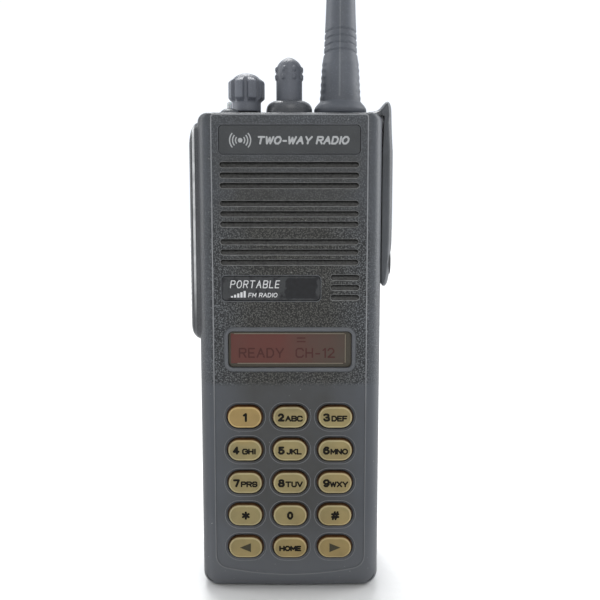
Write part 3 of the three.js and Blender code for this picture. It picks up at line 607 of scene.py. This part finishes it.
def panel_upper(shape):
    """The upper half's slots, window and label recesses: their loops on the panel and behind it."""
    y = PANEL_Y
    fronts, backs = [], []
    for outline in slot_outlines():
        # Kind 5, the slot rims, carries painted light and shade.
        front, lip = shape.form(outline, ((0.24, y), (0.14, y - 0.03), (0.04, y + 0.03), (0, y + 0.2)), 5)
        wall, back = shape.form(outline, ((0, y + 0.5), (0, INNER_Y)), 3)
        shape.bridge(lip, wall, 3)
        fronts.append(front)
        backs.append(back)
    frame_steps = ((1.5, y), (1.42, y + 0.1), (1.32, y + 0.06), (1.24, y - 0.18), (1.02, y - 0.33),
                   (0.7, y - 0.38), (0.35, y - 0.33), (0.1, y - 0.18), (0, y + 0.05), (0, INNER_Y))
    front, back = shape.form(box(*WINDOW, 1.6), frame_steps, 6)
    recess = ((0.1, y), (0, y - 0.03), (-0.1, y + 0.03), (-0.18, y + 0.3), (-0.2, y + 0.6))
    recesses = [box(-23.2, 148.2, 23.2, 158, 1.5), box(-22.7, 100.4, 10.3, 109.05, 1.5)]
    return fronts + [front] + shape.forms(recesses, recess, 6, floor=0)[0], backs + [back]


def panel_keypad(shape):
    """The shallow dish and the hole around each key."""
    y = KEYPAD_Y
    fronts, backs = [], []
    # The rim rings carry the dish rim's painted highlight.
    rim = ((1.44, y), (1.37, y - 0.04), (1.27, y - 0.02), (1.16, y + 0.14))
    dish = ((1.16, y + 0.14), (1.05, y + 0.22), (0.8, y + 0.27), (0.62, y + 0.33), (0.52, y + 0.45),
            (0.48, y + 0.7), (0.48, INNER_Y))
    for _, x, z in key_places():
        fronts.append(shape.form(key_outline(x, z), rim, 4)[0])
        backs.append(shape.form(key_outline(x, z), dish, 1)[1])
    return fronts, backs


def front_housing():
    shape = Shape()
    parting, panel = front_edge(shape)
    upper_fronts, upper_backs = panel_upper(shape)
    keypad_fronts, keypad_backs = panel_keypad(shape)
    upper = [i for i in panel if shape.points[i][2] >= STEP_Z - 0.01]
    lower = [i for i in panel if i > upper[-1]] + [i for i in panel if i < upper[0]]
    shape.fill(upper, upper_fronts)
    shape.fill(lower, keypad_fronts, 1)
    shape.face((lower[0], lower[-1], upper[0], upper[-1]), 1)
    inner = rounded(-29.1, 2, 29.1, 160, 3)
    tub = shape.skin([at_depth(inner, INNER_Y), at_depth(inner, PARTING_Y)], 3)
    shape.fill(tub[0], upper_backs + keypad_backs, 3, to_back=True)
    shape.fill(parting, [tub[1]], 1, to_back=True)
    kinds = [CASE, CASE, CREST_HIGHLIGHT, HOLE, DISH_RIM_HIGHLIGHT, LIP_PAINTED_LIGHT, RING]
    shape.finish("front_case", kinds, "case", "casing", ["front_housing"])


def grille_louvres():
    """The louvre in each slot, deeper along its top edge."""
    shape = Shape()
    for outline in slot_outlines():
        edge = outline(-0.03)
        foot, head = min(z for _, z in edge), max(z for _, z in edge)
        front = [(x, -20.02 + 0.85 * (z - foot) / (head - foot), z) for x, z in edge]
        shape.skin([at_depth(edge, INNER_Y + 0.4), front], first=True, last=True)
    # The louvres are painted darker, as shade in the slots.
    shape.finish("grille_louvres", [LOUVRE_SHADED], "case", "casing", sharp=60)


# ---- labels, display and lettering ----

def strokes_of(text, height, stretch, slant):
    """The strokes of a line of text as (x, z) points about its middle."""
    unit, pen, strokes = height / 10, 0, []
    for letter in text:
        right = 3 if letter == " " else 0
        for stroke in GLYPHS[letter].split():
            xs, zs = ([int(c, 16) for c in half] for half in stroke.split("/"))
            right = max(right, *xs)
            strokes.append([((pen + x + slant * (z - 5)) * unit * stretch, (z - 5) * unit)
                            for x, z in zip(xs, zs)])
        pen += right + 3.4 / stretch
    middle = (pen - 3.4 / stretch) * unit * stretch / 2
    return [[(x - middle, z) for x, z in stroke] for stroke in strokes]


def capsule(a, b, radius):
    """The outline of a stroke of one straight line with round ends."""
    along = degrees(atan2(b[1] - a[1], b[0] - a[0]))
    return arc(*b, radius, along - 90, along + 90, 5) + arc(*a, radius, along + 90, along + 270, 5)


def lettering(name, text, height, centre, y, material, body, slot, pen, stretch, slant=0):
    """Raised print with round-ended strokes pen millimetres wide, centred on (x, z) = centre."""
    flat, outlines = [], []
    for stroke in strokes_of(text, height - pen, stretch, slant):
        for a, b in zip(stroke, stroke[1:]):
            outline = capsule(a, b, pen / 2)
            outlines.append(list(range(len(flat), len(flat) + len(outline))))
            flat += [Vector((x + centre[0], z + centre[1])) for x, z in outline]
    found = delaunay_2d_cdt(flat, [], outlines, 1, 1e-5)
    shape = Shape()
    front = shape.loop([(x, y - INK_THICK, z) for x, z in found[0]])
    back = shape.loop([(x, y + INK_THICK, z) for x, z in found[0]])
    used = set()
    for triangle, sources in zip(found[2], found[5]):
        if sources:
            shape.face([front[v] for v in triangle])
            shape.face([back[v] for v in reversed(triangle)])
            used.update(zip(triangle, triangle[1:] + triangle[:1]))
    for a, b in used:
        if (b, a) not in used:
            shape.face((front[b], front[a], back[a], back[b]))
    shape.finish(name, [material], body, slot, weld=False)


def flat_mark(name, outlines, y, material, body, slot, thick=INK_THICK):
    """Thin printed shapes, each an outline of (x, z) points counterclockwise from the front."""
    shape = Shape()
    for points in outlines:
        shape.skin([at_depth(points, y + thick), at_depth(points, y)], first=True, last=True)
    shape.finish(name, [material], body, slot, weld=False)


def signal_arcs(cx, cz):
    """A dot with three arcs on each side."""
    marks = [circle(cx, cz, 0.75, 24)]
    for radius in (1.5, 2.45, 3.4):
        for middle in (0, 180):
            outer = arc(cx, cz, radius + 0.2, middle - 42, middle + 42, 16)
            inner = arc(cx, cz, radius - 0.2, middle + 42, middle - 42, 16)
            marks.append(outer + inner)
    return marks


def label_plate(name, outline, material, node):
    y = PANEL_Y + 0.05
    plate = Shape()
    plate.form(outline, ((0, y + 0.5), (0, y + 0.08), (-0.08, y)), floor=0, closed=True)
    plate.finish(name, [material], "case", "plate", [node])


def labels():
    y = PANEL_Y + 0.05
    label_plate("name_label", box(-22.9, 148.5, 22.9, 157.7, 1.2), PLATE, "name_plate")
    flat_mark("name_label_arcs", signal_arcs(-16, 152.9), y - INK_THICK, SILVER, "case", "plate")
    lettering("name_label_words", "TWO-WAY RADIO", 2.7, (4.4, 152.9), y, SILVER, "case", "plate",
              pen=0.6, stretch=0.88, slant=0.26)
    label_plate("type_label", box(-22.4, 100.8, 10, 108.7, 1.3), LABEL, "model_plate")
    lettering("type_label_words", "PORTABLE", 2.6, (-11.5, 106.1), y, WHITE, "case", "plate",
              pen=0.29, stretch=0.62, slant=0.25)
    lettering("type_label_small", "FM RADIO", 1.5, (-8.9, 102.5), y, WHITE, "case", "plate",
              pen=0.24, stretch=0.84, slant=0.2)
    bars = []
    for i in range(5):
        x0, x1, top = -19.5 + 1.05 * i, -18.8 + 1.05 * i, 102.2 + 0.42 * i
        bars.append([(x0, 101.7), (x1, 101.7), (x1, top), (x0, top)])
    flat_mark("type_label_bars", bars, y - INK_THICK, WHITE, "case", "plate")


def display():
    """The window: a dark border round the lit display, with its print just in front of it."""
    window = Shape()
    edge_steps = ((-0.1, -18.9), (-0.1, -19.6), (-0.25, -19.7))
    _, edge = window.form(box(*WINDOW, 1.5), edge_steps, 1, closed=True)
    front, _ = window.form(box(-19.8, 79.4, 18.8, 89.6, 0.3), ((0, -19.7), (-0.06, -19.6)), 1, floor=0)
    window.fill(edge, [front], 1)
    window.finish("display_window", [SCREEN, SCREEN_EDGE], "case", "lens", ["display_lens"])
    lettering("display_words", "READY  CH-12", 3.4, (-1, 83), -19.64, SEGMENT, "case", "lens",
              pen=0.5, stretch=0.8)
    lines = ((-17.6, 79.35, 17.8, 79.62), (-18.6, 89.42, 18.2, 89.65), (18.35, 79.7, 18.6, 89.3))
    marks = [(2.3, z, 5.2, z + 0.45) for z in (86.6, 87.8)]
    for name, boxes, y, material in (("display_border", lines, -19.74, SCREEN_LINE),
                                     ("display_marks", marks, -19.64, SEGMENT)):
        flat_mark(name, [rounded(*ends, 0.1, steps=2) for ends in boxes], y, material, "case", "lens")


def keypad():
    """Each key has a flange behind the panel, sides painted darker as shade, a rim painted paler as a
    highlight and a slightly crowned top.
    """
    for (name, digit, letters), x, z in key_places():
        node = "key_" + name
        shape = Shape()
        outline = key_outline(0, 0)
        sides = ((1.1, -17.5), (1.1, -18.1), (0.02, -18.1), (0, -19.6), (-0.02, -20.5), (-0.08, -20.7))
        shape.form(outline, sides, 1, closed=True)
        rim = ((-0.08, -20.7), (-0.2, -20.86), (-0.4, -20.95), (-0.6, KEY_TOP_Y))
        shape.form(outline, rim, 2, floor=0)
        shape.finish(node + "_cap", [KEY_TOP, KEY_SIDE_SHADE, KEY_RIM_HIGHLIGHT], node, "key", [node],
                     place=shifted(x, 0, z), sharp=50)
        key_legend(node, name, digit, letters, x, z)


def key_legend(node, name, digit, letters, x, z):
    def words(suffix, text, height, place, pen, stretch):
        lettering(node + suffix, text, height, place, KEY_TOP_Y, INK, node, "key", pen, stretch)

    if name in ("left", "right"):
        way = 1 if name == "right" else -1
        points = [(x - 1.8 * way, z - 1.6), (x + 2 * way, z), (x - 1.8 * way, z + 1.6)]
        flat_mark(node + "_legend", [points[::way]], KEY_TOP_Y - 0.02, FADED_INK, node, "key", thick=0.03)
    elif not letters:
        height, stretch = {"star": (3.5, 0.9), "hash": (3.2, 0.95), "1": (3.1, 0.9)}.get(name, (2.9, 0.72))
        words("_legend", digit, height, (x, z), 0.78, stretch)
    elif not digit:
        words("_legend", letters, 2, (x, z - 0.3), 0.61, 1.08)
    else:
        words("_legend", digit, 2.85, (x - 2.95, z), 0.78, 0.84)
        words("_legend_letters", letters, 2.1, (x + 1.35, z - 0.38), 0.55, 0.98)


# ---- top controls and aerial ----

def top_panel():
    """The control plate, drawn as seen from above and turned up, and the lamp on its dome."""
    shape = Shape()
    holes = [disc(x, y, r, 40) for x, y, r in ((SELECT_X, KNOB_Y, 3.9), (VOLUME_X, KNOB_Y, 3.9),
                                               (ANTENNA_X, KNOB_Y, 4.8), (SELECT_X, 6, 3.6))]
    holes.append(box(-2.7, 4.6, 2.7, 8.6, 0.6))
    fronts, backs = shape.forms(holes, ((0.15, -162.2), (0, -162.05), (0, -160)))
    dome = ((0, -162.2), (-0.15, -162.45), (-0.55, -162.95), (-1.1, -163.4), (-1.8, -163.75),
            (-2.45, -163.92))
    fronts.append(shape.form(disc(LAMP_X, LAMP_Y, 3.45, 40), dome, floor=0)[0])
    back, front = shape.form(box(-26.5, -16, 26.5, 10.4, 2), ((0, -160), (0, -161.95), (-0.25, -162.2)))
    shape.fill(front, fronts)
    shape.fill(back, backs, to_back=True)
    shape.finish("control_plate", [SATIN], "case", "casing", ["top_panel"], place=TO_TOP)
    tip = curve_through([(0.85, 163.8), (0.85, 165.4), (0.62, 165.95), (0.1, 166.2)], 4)
    lamp = Shape().turn([(1.4, 158.5), (1.4, 159.6), (0.85, 159.7)] + tip, 24)
    lamp.finish("status_lamp", [LAMP], "case", "lamp", ["lamp_lens"], place=shifted(LAMP_X, LAMP_Y, 0))


def select_knob():
    """A domed knob with eight broad ribs and narrow valleys between them."""
    rib_foot, rib_top = 166.5, 174.7

    def ribbed(r, z, angle):
        turn = (degrees(angle) + 90) % 45
        from_valley = radians(min(turn, 45 - turn)) * 6
        rise = smooth((z - rib_foot) / 1.6) * smooth((rib_top - z) / 1.7)
        return r + rise * max(6.2 - r, 0) * smooth((from_valley - 0.5) / 0.5)

    profile = [(2.5, 163.4), (4.6, 163.4), (4.85, 163.6)]
    profile += [(4.85, 164 + 0.4 * i) for i in range(7)]
    profile += [(4.9, 166.5 + 0.15 * i) for i in range(12)]
    profile += [(4.95, 168.4 + 0.35 * i) for i in range(13)]
    profile += curve_through([(4.95, 172.9), (4.85, 173.7), (4.55, 174.4), (4, 175), (3.1, 175.6),
                              (1.9, 176.05), (0.8, 176.25), (0.05, 176.3)], 5)
    knob = Shape().turn(profile, 192, ribbed)
    knob.finish("channel_knob", [PALER_KNOB], "select_knob", "knob", ["select_knob"],
                place=shifted(SELECT_X, KNOB_Y, 0), sharp=60)


def volume_knob():
    """A pointed cap with two rows of nubs, standing in a low skirt."""
    def nubbed(r, z, angle):
        turn = (degrees(angle) + 112.5) % 45
        across = radians(min(turn, 45 - turn)) * 4.5
        bump = 0
        for middle in (177.45, 174.85):
            along = max(abs(z - middle) - 0.35, 0)
            bump = max(bump, smooth(1.25 - hypot(across, along) / 0.62))
        return r + 0.65 * bump

    dome = curve_through([(4.5, 175.9), (4.4, 177.4), (4, 178.7), (3.2, 179.9), (2.05, 180.8),
                          (0.9, 181.4), (0.05, 181.6)], 5)
    profile = [(2.5, 163), (4.4, 163)] + [(4.4, 163.4 + 0.5 * i) for i in range(20)]
    profile += [(4.4 + 0.1 * i / 14, 173.4 + 0.18 * i) for i in range(14)] + dome
    cap = Shape().turn(profile, 144, nubbed)
    cap.finish("volume_cap", [KNOB], "volume_knob", "knob", ["volume_knob"],
               place=shifted(VOLUME_X, KNOB_Y, 0), sharp=60)
    collar = Shape()
    outside = curve_through([(7.85, 163.7), (7.75, 164.6), (7.4, 165.5), (6.7, 166.3), (5.6, 166.9)], 4)
    ring = [(4.9, 162.45), (7.6, 162.45), (7.85, 162.7)] + outside + [(5.2, 167), (4.9, 166.9)]
    loops = [collar.loop([(x, y, z) for x, y in circle(0, 0, r, 72)]) for r, z in ring]
    for a, b in zip(loops, loops[1:] + loops[:1]):
        collar.bridge(a, b)
    collar.finish("volume_skirt", [COLLAR], "case", "rubber", ["volume_collar"],
                 place=shifted(VOLUME_X, KNOB_Y, 0))


def antenna():
    """The rubber aerial: a flared foot, ribs on two sides, four sloping grooves and a mould line."""
    def gripped(r, z, angle):
        turn = degrees(angle) % 360
        aside = min(abs(turn - 180), turn, 360 - turn)
        ridge = cos(2 * pi * (z - 168) / 2.3)
        grip = smooth((z - 166.8) / 0.8) * smooth((179.6 - z) / 0.8) * smooth((42 - aside) / 8)
        arch = 1.05 * sin(angle) ** 2
        groove = max(smooth(1 - abs(z - arch - at) / 0.5) for at in (182.65, 184.9, 187.15, 189.4))
        seam = 0.09 if abs(turn - 265) < 1.3 or abs(turn - 85) < 1.3 else 0
        return r + 0.09 * ridge * grip - 0.34 * groove + seam * smooth((z - 167) / 6)

    foot = curve_through([(8.9, 163.6), (8.85, 164.3), (8.3, 165.3), (7.5, 166.2), (6.95, 166.8)], 4)
    profile = [(3, 162.5), (8.6, 162.5), (8.9, 162.8)] + foot
    profile += [(6.9 - 0.75 * i / 36, 167.05 + 0.35 * i) for i in range(36)]
    profile += [(6.1, 179.7), (5.9, 180.8), (5.7, 182)]
    profile += [(5.63 - 0.046 * 0.16 * i, 182.3 + 0.16 * i) for i in range(57)]
    profile += [(5.17, 192.1), (5, 196), (4.85, 200.4), (4.5, 212), (4.2, 225), (3.9, 243), (3.7, 260),
                (3.5, 283), (3.35, 303), (3.3, 306.5), (3.15, 308.6), (2.6, 310.4), (1.6, 311.6), (0.1, 312)]
    shape = Shape().turn(profile, 144, gripped)
    # The faces along the mould line take the seam's painted highlight.
    for index, corners in enumerate(shape.faces):
        x, y, z = (sum(shape.points[i][k] for i in corners) / len(corners) for k in range(3))
        if z > 168 and abs(degrees(atan2(y, x)) % 180 - 85) < 2.4:
            shape.kinds[index] = 1
    shape.finish("whip_aerial", [WHIP, SEAM_HIGHLIGHT], "antenna_whip", "whip", ["antenna_whip"],
                 place=shifted(ANTENNA_X, KNOB_Y, 0), sharp=50)


# ---- sides ----

def side_grip():
    """The rubber bezel on the left, drawn facing the front and turned to the left."""
    shape = Shape()
    rings = []
    for x, in_y, low, high in ((-30, -0.6, -0.4, -0.4), (-30.9, -0.15, -0.1, 0), (-31.4, -0.05, 0.2, 0.3),
                               (-31.8, 0, 0.4, 0.6), (-32.15, 0.06, 0.8, 1.2), (-32.6, 0.22, 1.3, 2.2),
                               (-32.9, 0.48, 1.8, 3.2), (-33.12, 0.85, 2.4, 4.3), (-33.25, 1.3, 2.9, 5.2),
                               (-33.3, 1.85, 3.25, 5.9)):
        rings.append(at_depth(rounded(3.5 + in_y, 87 + low, 16 - in_y, 159 - high, 3 - in_y * 0.5), x))
    base = shape.skin(rings[:3])
    # The middle rings, round the bezel's front edge, carry its painted highlight.
    shape.skin(rings[2:5], 1)
    loops = shape.skin(rings[4:])
    openings = [box(6.1, 90.7, 13.3, 123.9, 2.3)] + [disc(BUTTON_Y, z, 2.8, 32) for _, z in SIDE_BUTTONS]
    fronts, backs = shape.forms(openings, ((0.25, -33.3), (0.08, -33.24), (0, -33.05), (0, -30)))
    shape.fill(loops[-1], fronts)
    shape.fill(base[0], backs, to_back=True)
    shape.finish("talk_bezel", [RUBBER, BEZEL_HIGHLIGHT], "case", "rubber", ["side_grip"], place=TO_LEFT)


def talk_bar():
    shape = Shape()
    steps = ((0, -32.3), (0, -33), (-0.15, -33.2), (-0.5, -33.28))
    shape.form(box(6.4, 91, 13, 123.6, 2), steps, floor=0, closed=True)
    ridge = ((0.1, -33.2), (0, -33.4), (-0.15, -33.6), (-0.35, -33.68))
    for i in range(14):
        z = 93.9 + 2.05 * i
        shape.form(box(7, z - 0.62, 12.4, z + 0.62, 0.6, 4), ridge, floor=0, closed=True)
    shape.finish("talk_bar", [RUBBER], "ptt_bar", "rubber", ["ptt_bar"], place=TO_LEFT)


def side_buttons():
    steps = ((0, -32.3), (0, -33.25), (-0.12, -33.4), (-0.5, -33.52), (-1.2, -33.56), (-1.7, -33.48),
             (-2.2, -33.45))
    for name, z in SIDE_BUTTONS:
        node = "side_button_" + name
        shape = Shape()
        shape.form(disc(BUTTON_Y, z, 2.5, 36), steps, floor=0, closed=True)
        shape.finish("side_key_" + name, [RUBBER], node, "rubber", [node], place=TO_LEFT)


def cover_profile():
    """The port cover from the front: flat inside, rounded outside, with a hook over the case's corner."""
    outer = curve_through([(32.3, 104.4), (32.8, 104.7), (33.3, 105.8), (33.85, 108.4), (34.3, 112),
                           (34.58, 117), (34.77, 123), (34.77, 147), (34.65, 151), (34.4, 155), (34.2, 159),
                           (34.1, 162)], 4)
    crown = curve_through([(34.1, 162), (33.95, 164.2), (33.45, 165.75), (32.65, 166.4), (31.8, 166.1),
                           (31, 165.2), (30.2, 164.3), (29.2, 163.6), (27.9, 163.15), (26.3, 163)], 4)[1:]
    inner = [(26.3, 162.6), (30, 162.5)] + arc(COVER_INNER - 1.6, 160.9, 1.6, 90, 0, 5)
    inner += [(COVER_INNER, z) for z in (150, 130, 110)]
    return outer + crown + inner + arc(32.3, 105.3, 0.9, 180, 270, 5)[:-1]


def port_cover():
    points = cover_profile()

    def inset(amount, lean):
        """The profile drawn in by amount on its outer face and ends, its inner face leaning in."""
        made = []
        for x, z in points:
            if x > COVER_INNER:
                x = COVER_INNER + (x - COVER_INNER) * (1 - amount / 3.7)
            rise = smooth((106.5 - z) / 2) - smooth((z - 160) / 4)
            made.append((x - lean * smooth((34 - x) / 2.5) * smooth((162 - z) / 3), z + amount * 0.6 * rise))
        return made

    shape = Shape()
    rings = ((2, 0, 1.5), (1.2, 0, 1.4), (0.5, 0, 1), (0.1, 0, 0.2), (0, 0, -1.5), (0, 0, -7),
             (0.12, 0.1, -9.5), (0.4, 0.3, -11.5), (0.85, 0.5, -13), (1.3, 0.62, -13.8), (1.8, 0.66, -14.3),
             (2.3, 0.6, -14.5))
    loops = shape.skin([at_depth(inset(amount, lean), y) for amount, lean, y in rings])
    shape.fill(loops[-1])
    shape.fill(loops[0], to_back=True)
    cover = shape.finish("side_cover", [SATIN], "port_cover", "casing", ["port_cover"], sharp=45)
    well = Shape().turn([(0.1, 33.1), (4.75, 33.1), (4.85, 33.2), (4.85, 40), (0.1, 40)], 48)
    cut_away(cover, well, Matrix.Translation((0, -0.009, 0.113)) @ Matrix.Rotation(pi / 2, 4, "Y"))


def cut_away(piece, tool, place=STAY):
    """Cuts a closed shape out of a piece."""
    cutter = new_object("cutter", tool.mesh("cutter", place))
    cut = piece.modifiers.new("cut", "BOOLEAN")
    cut.object = cutter
    piece.modifiers.move(1, 0)
    made = bpy.data.meshes.new_from_object(piece.evaluated_get(bpy.context.evaluated_depsgraph_get()))
    piece.modifiers.remove(cut)
    piece.data = made
    bpy.data.objects.remove(cutter)
    shade(made)


# ---- rear ----

def notch(piece, x, z0, z1, radius, y0, y1):
    """Cuts the latch's opening, of half width x, from y0 forward to y1."""
    tool = Shape()
    tool.skin([at_depth(rounded(-x, z0, x, z1, radius), y) for y in (y0, y1)], first=True, last=True)
    cut_away(piece, tool)


def rear_chassis():
    """The plate and the deep hump above the battery, drawn facing the front and turned to the back."""
    shape = Shape()
    plate = box(-REAR_HALF, 0, REAR_HALF, 161.7, 3.5)
    _, face = shape.form(plate, ((-0.3, 2.4), (0, 2.1), (0, -3.7), (-0.25, -4)), closed=True)
    hump = ((-0.32, -4), (-0.1, -4.4), (0, -5), (0, -9.2), (-0.35, -10.5), (-1, -11.5), (-1.9, -12.15),
            (-3, -12.45), (-3.6, -12.5))
    foot, top = shape.form(box(-REAR_HALF, 119.2, REAR_HALF, 161.7, 3.6), hump)
    grooves = [box(-21, z - 0.9, 21, z + 0.9, 0.9, 5) for z in [129.5 + 4.4 * i for i in range(6)]]
    shape.fill(top, shape.forms(grooves, ((0.15, -12.5), (0, -12.35), (-0.15, -11.7)), floor=0)[0])
    shape.fill(face, [foot])
    rear = shape.finish("rear_case", [PAINT], "case", "alloy", ["rear_chassis"], place=TO_BACK)
    notch(rear, 6.5, 0.6, 2.7, 0.2, 5, 2)


def battery():
    """The pack: a sloping top, a label, two sets of grooves and the latch's opening."""
    shape = Shape()
    rings = []
    for grow, y in ((0, 6.3), (0, 10), (0, 14), (0, 18.6), (-0.15, 19.8), (-0.55, 20.9), (-1.2, 21.8),
                    (-2.1, 22.35), (-3, 22.5)):
        crown = 117.5 - (y - 6.1) * (10.1 / 17.4)
        rings.append(at_depth(rounded(-BATTERY_HALF, 0, BATTERY_HALF, crown, 4, grow), -y))
    loops = shape.skin(rings, first=True)
    label, _ = shape.form(box(-22, 34, 22, 84, 2), ((0, -22.5), (-0.12, -22.44), (-0.2, -22.2)), floor=1)
    grooves = [box(x - 7, z - 0.7, x + 7, z + 0.7, 0.7, 5)
               for x in (-15, 15) for z in [14 + 3.2 * i for i in range(5)]]
    groove_tops, _ = shape.forms(grooves, ((0.12, -22.5), (0, -22.4), (-0.12, -21.9)), floor=0)
    shape.fill(loops[-1], [label] + groove_tops)
    kinds = [SATIN, PLATE]
    pack = shape.finish("battery_case", kinds, "battery", "casing", ["battery_shell"], place=TO_BACK)
    notch(pack, 9, -1, 2.7, 0.4, 18.6, 5)


# ---- carried-over CAD nodes ----

def dress_cad_nodes():
    """Gives every CAD node that stays its material, and those in view a small rounded edge."""
    finishes = {
        RUBBER: ("main_seal", "keypad_mat", "zone_ring"),
        SATIN: ("battery_face", "battery_latch"),
        STEEL: ("speaker", "microphone", "rf_shield", "select_switch", "volume_switch", "toggle_lever",
                *("chassis_screw_%d" % i for i in range(1, 5))),
        BRASS: ("antenna_socket", "antenna_stud", "contact_block"),
        HOLE: ("accessory_port",),
        BLACK_STEEL: ("cover_screw",),
        BOARD: ("main_board", "rf_board"),
        FELT: ("speaker_felt", "side_switch_strip"),
        SCREEN_EDGE: ("display_module",),
        ORANGE: ("emergency_button",),
        CELLS: ("cell_pack",),
    }
    edged = ("zone_ring", "toggle_lever", "emergency_button", "cover_screw", "battery_face", "battery_latch")
    for material, names in finishes.items():
        for name in names:
            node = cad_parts[name]
            node.data.materials.clear()
            node.data.materials.append(material)
            if name in edged:
                round_edges(node)


def round_edges(node):
    bevel = node.modifiers.new("rounded edges", "BEVEL")
    bevel.width = 0.15 * MM
    bevel.segments = 2
    bevel.limit_method = "ANGLE"
    bevel.angle_limit = radians(40)
    bevel.harden_normals = True


# ---- room, light and camera ----

def floor():
    mesh = bpy.data.meshes.new("floor")
    mesh.from_pydata([(-4, -4, 0), (4, -4, 0), (4, 4, 0), (-4, 4, 0)], [], [(0, 1, 2, 3)])
    mesh.materials.append(floor_material())
    new_object("floor", mesh)


def white_room():
    """A white room, darker behind the camera."""
    world = bpy.data.worlds.new("white_room")
    world.use_nodes = True
    tree = world.node_tree
    direction = add_node(tree, "TexCoord").outputs["Generated"]
    along = add_node(tree, "SeparateXYZ", {0: direction}).outputs["Y"]
    fade = add_node(tree, "MapRange", {"Value": along, "From Min": -0.7, "From Max": 0.88},
                    interpolation_type="SMOOTHSTEP").outputs["Result"]
    mix = add_node(tree, "Mix", {0: fade, 6: (0.52, 0.52, 0.51, 1), 7: (1.02, 1.06, 1.12, 1)},
                   data_type="RGBA")
    tree.links.new(mix.outputs[2], tree.nodes["Background"].inputs["Color"])
    bpy.context.scene.world = world


def light(name, kind, power, place, target, **settings):
    """A light at a place, shining towards a target."""
    data = bpy.data.lights.new(name, kind)
    data.energy = power
    for key, value in settings.items():
        setattr(data, key, value)
    lamp = new_object(name, data)
    lamp.location = place
    lamp.rotation_euler = (Vector(place) - Vector(target)).to_track_quat("Z", "Y").to_euler()


def light_and_camera():
    scene = bpy.context.scene
    scene.view_settings.view_transform = "Standard"
    white_room()
    for name, power, place, angle in (("front", 0.93, (0.15, -1, 0.7), 35), ("back", 3, (-0.1, 0.6, 1), 30)):
        light(name, "SUN", power, place, (0, 0, 0), angle=radians(angle))
    for name, power, place, width in (("right_window", 4.5, (0.6, 0.12, 0.2), 0.35),
                                      ("left_wall", 3, (-0.6, 0.05, 0.2), 0.2)):
        light(name, "AREA", power, place, (0, 0, 0.1), shape="RECTANGLE", size=width, size_y=1)
    data = bpy.data.cameras.new("camera")
    data.lens = 48
    data.sensor_width = 36
    data.clip_start = 0.01
    camera = new_object("camera", data)
    camera.location = (0.00336, -0.2831, 0.1327)
    camera.rotation_euler = (radians(90 - 6.9), 0, 0)
    scene.camera = camera


front_housing()
grille_louvres()
labels()
display()
keypad()
top_panel()
select_knob()
volume_knob()
antenna()
side_grip()
talk_bar()
side_buttons()
port_cover()
rear_chassis()
battery()
dress_cad_nodes()
floor()
light_and_camera()
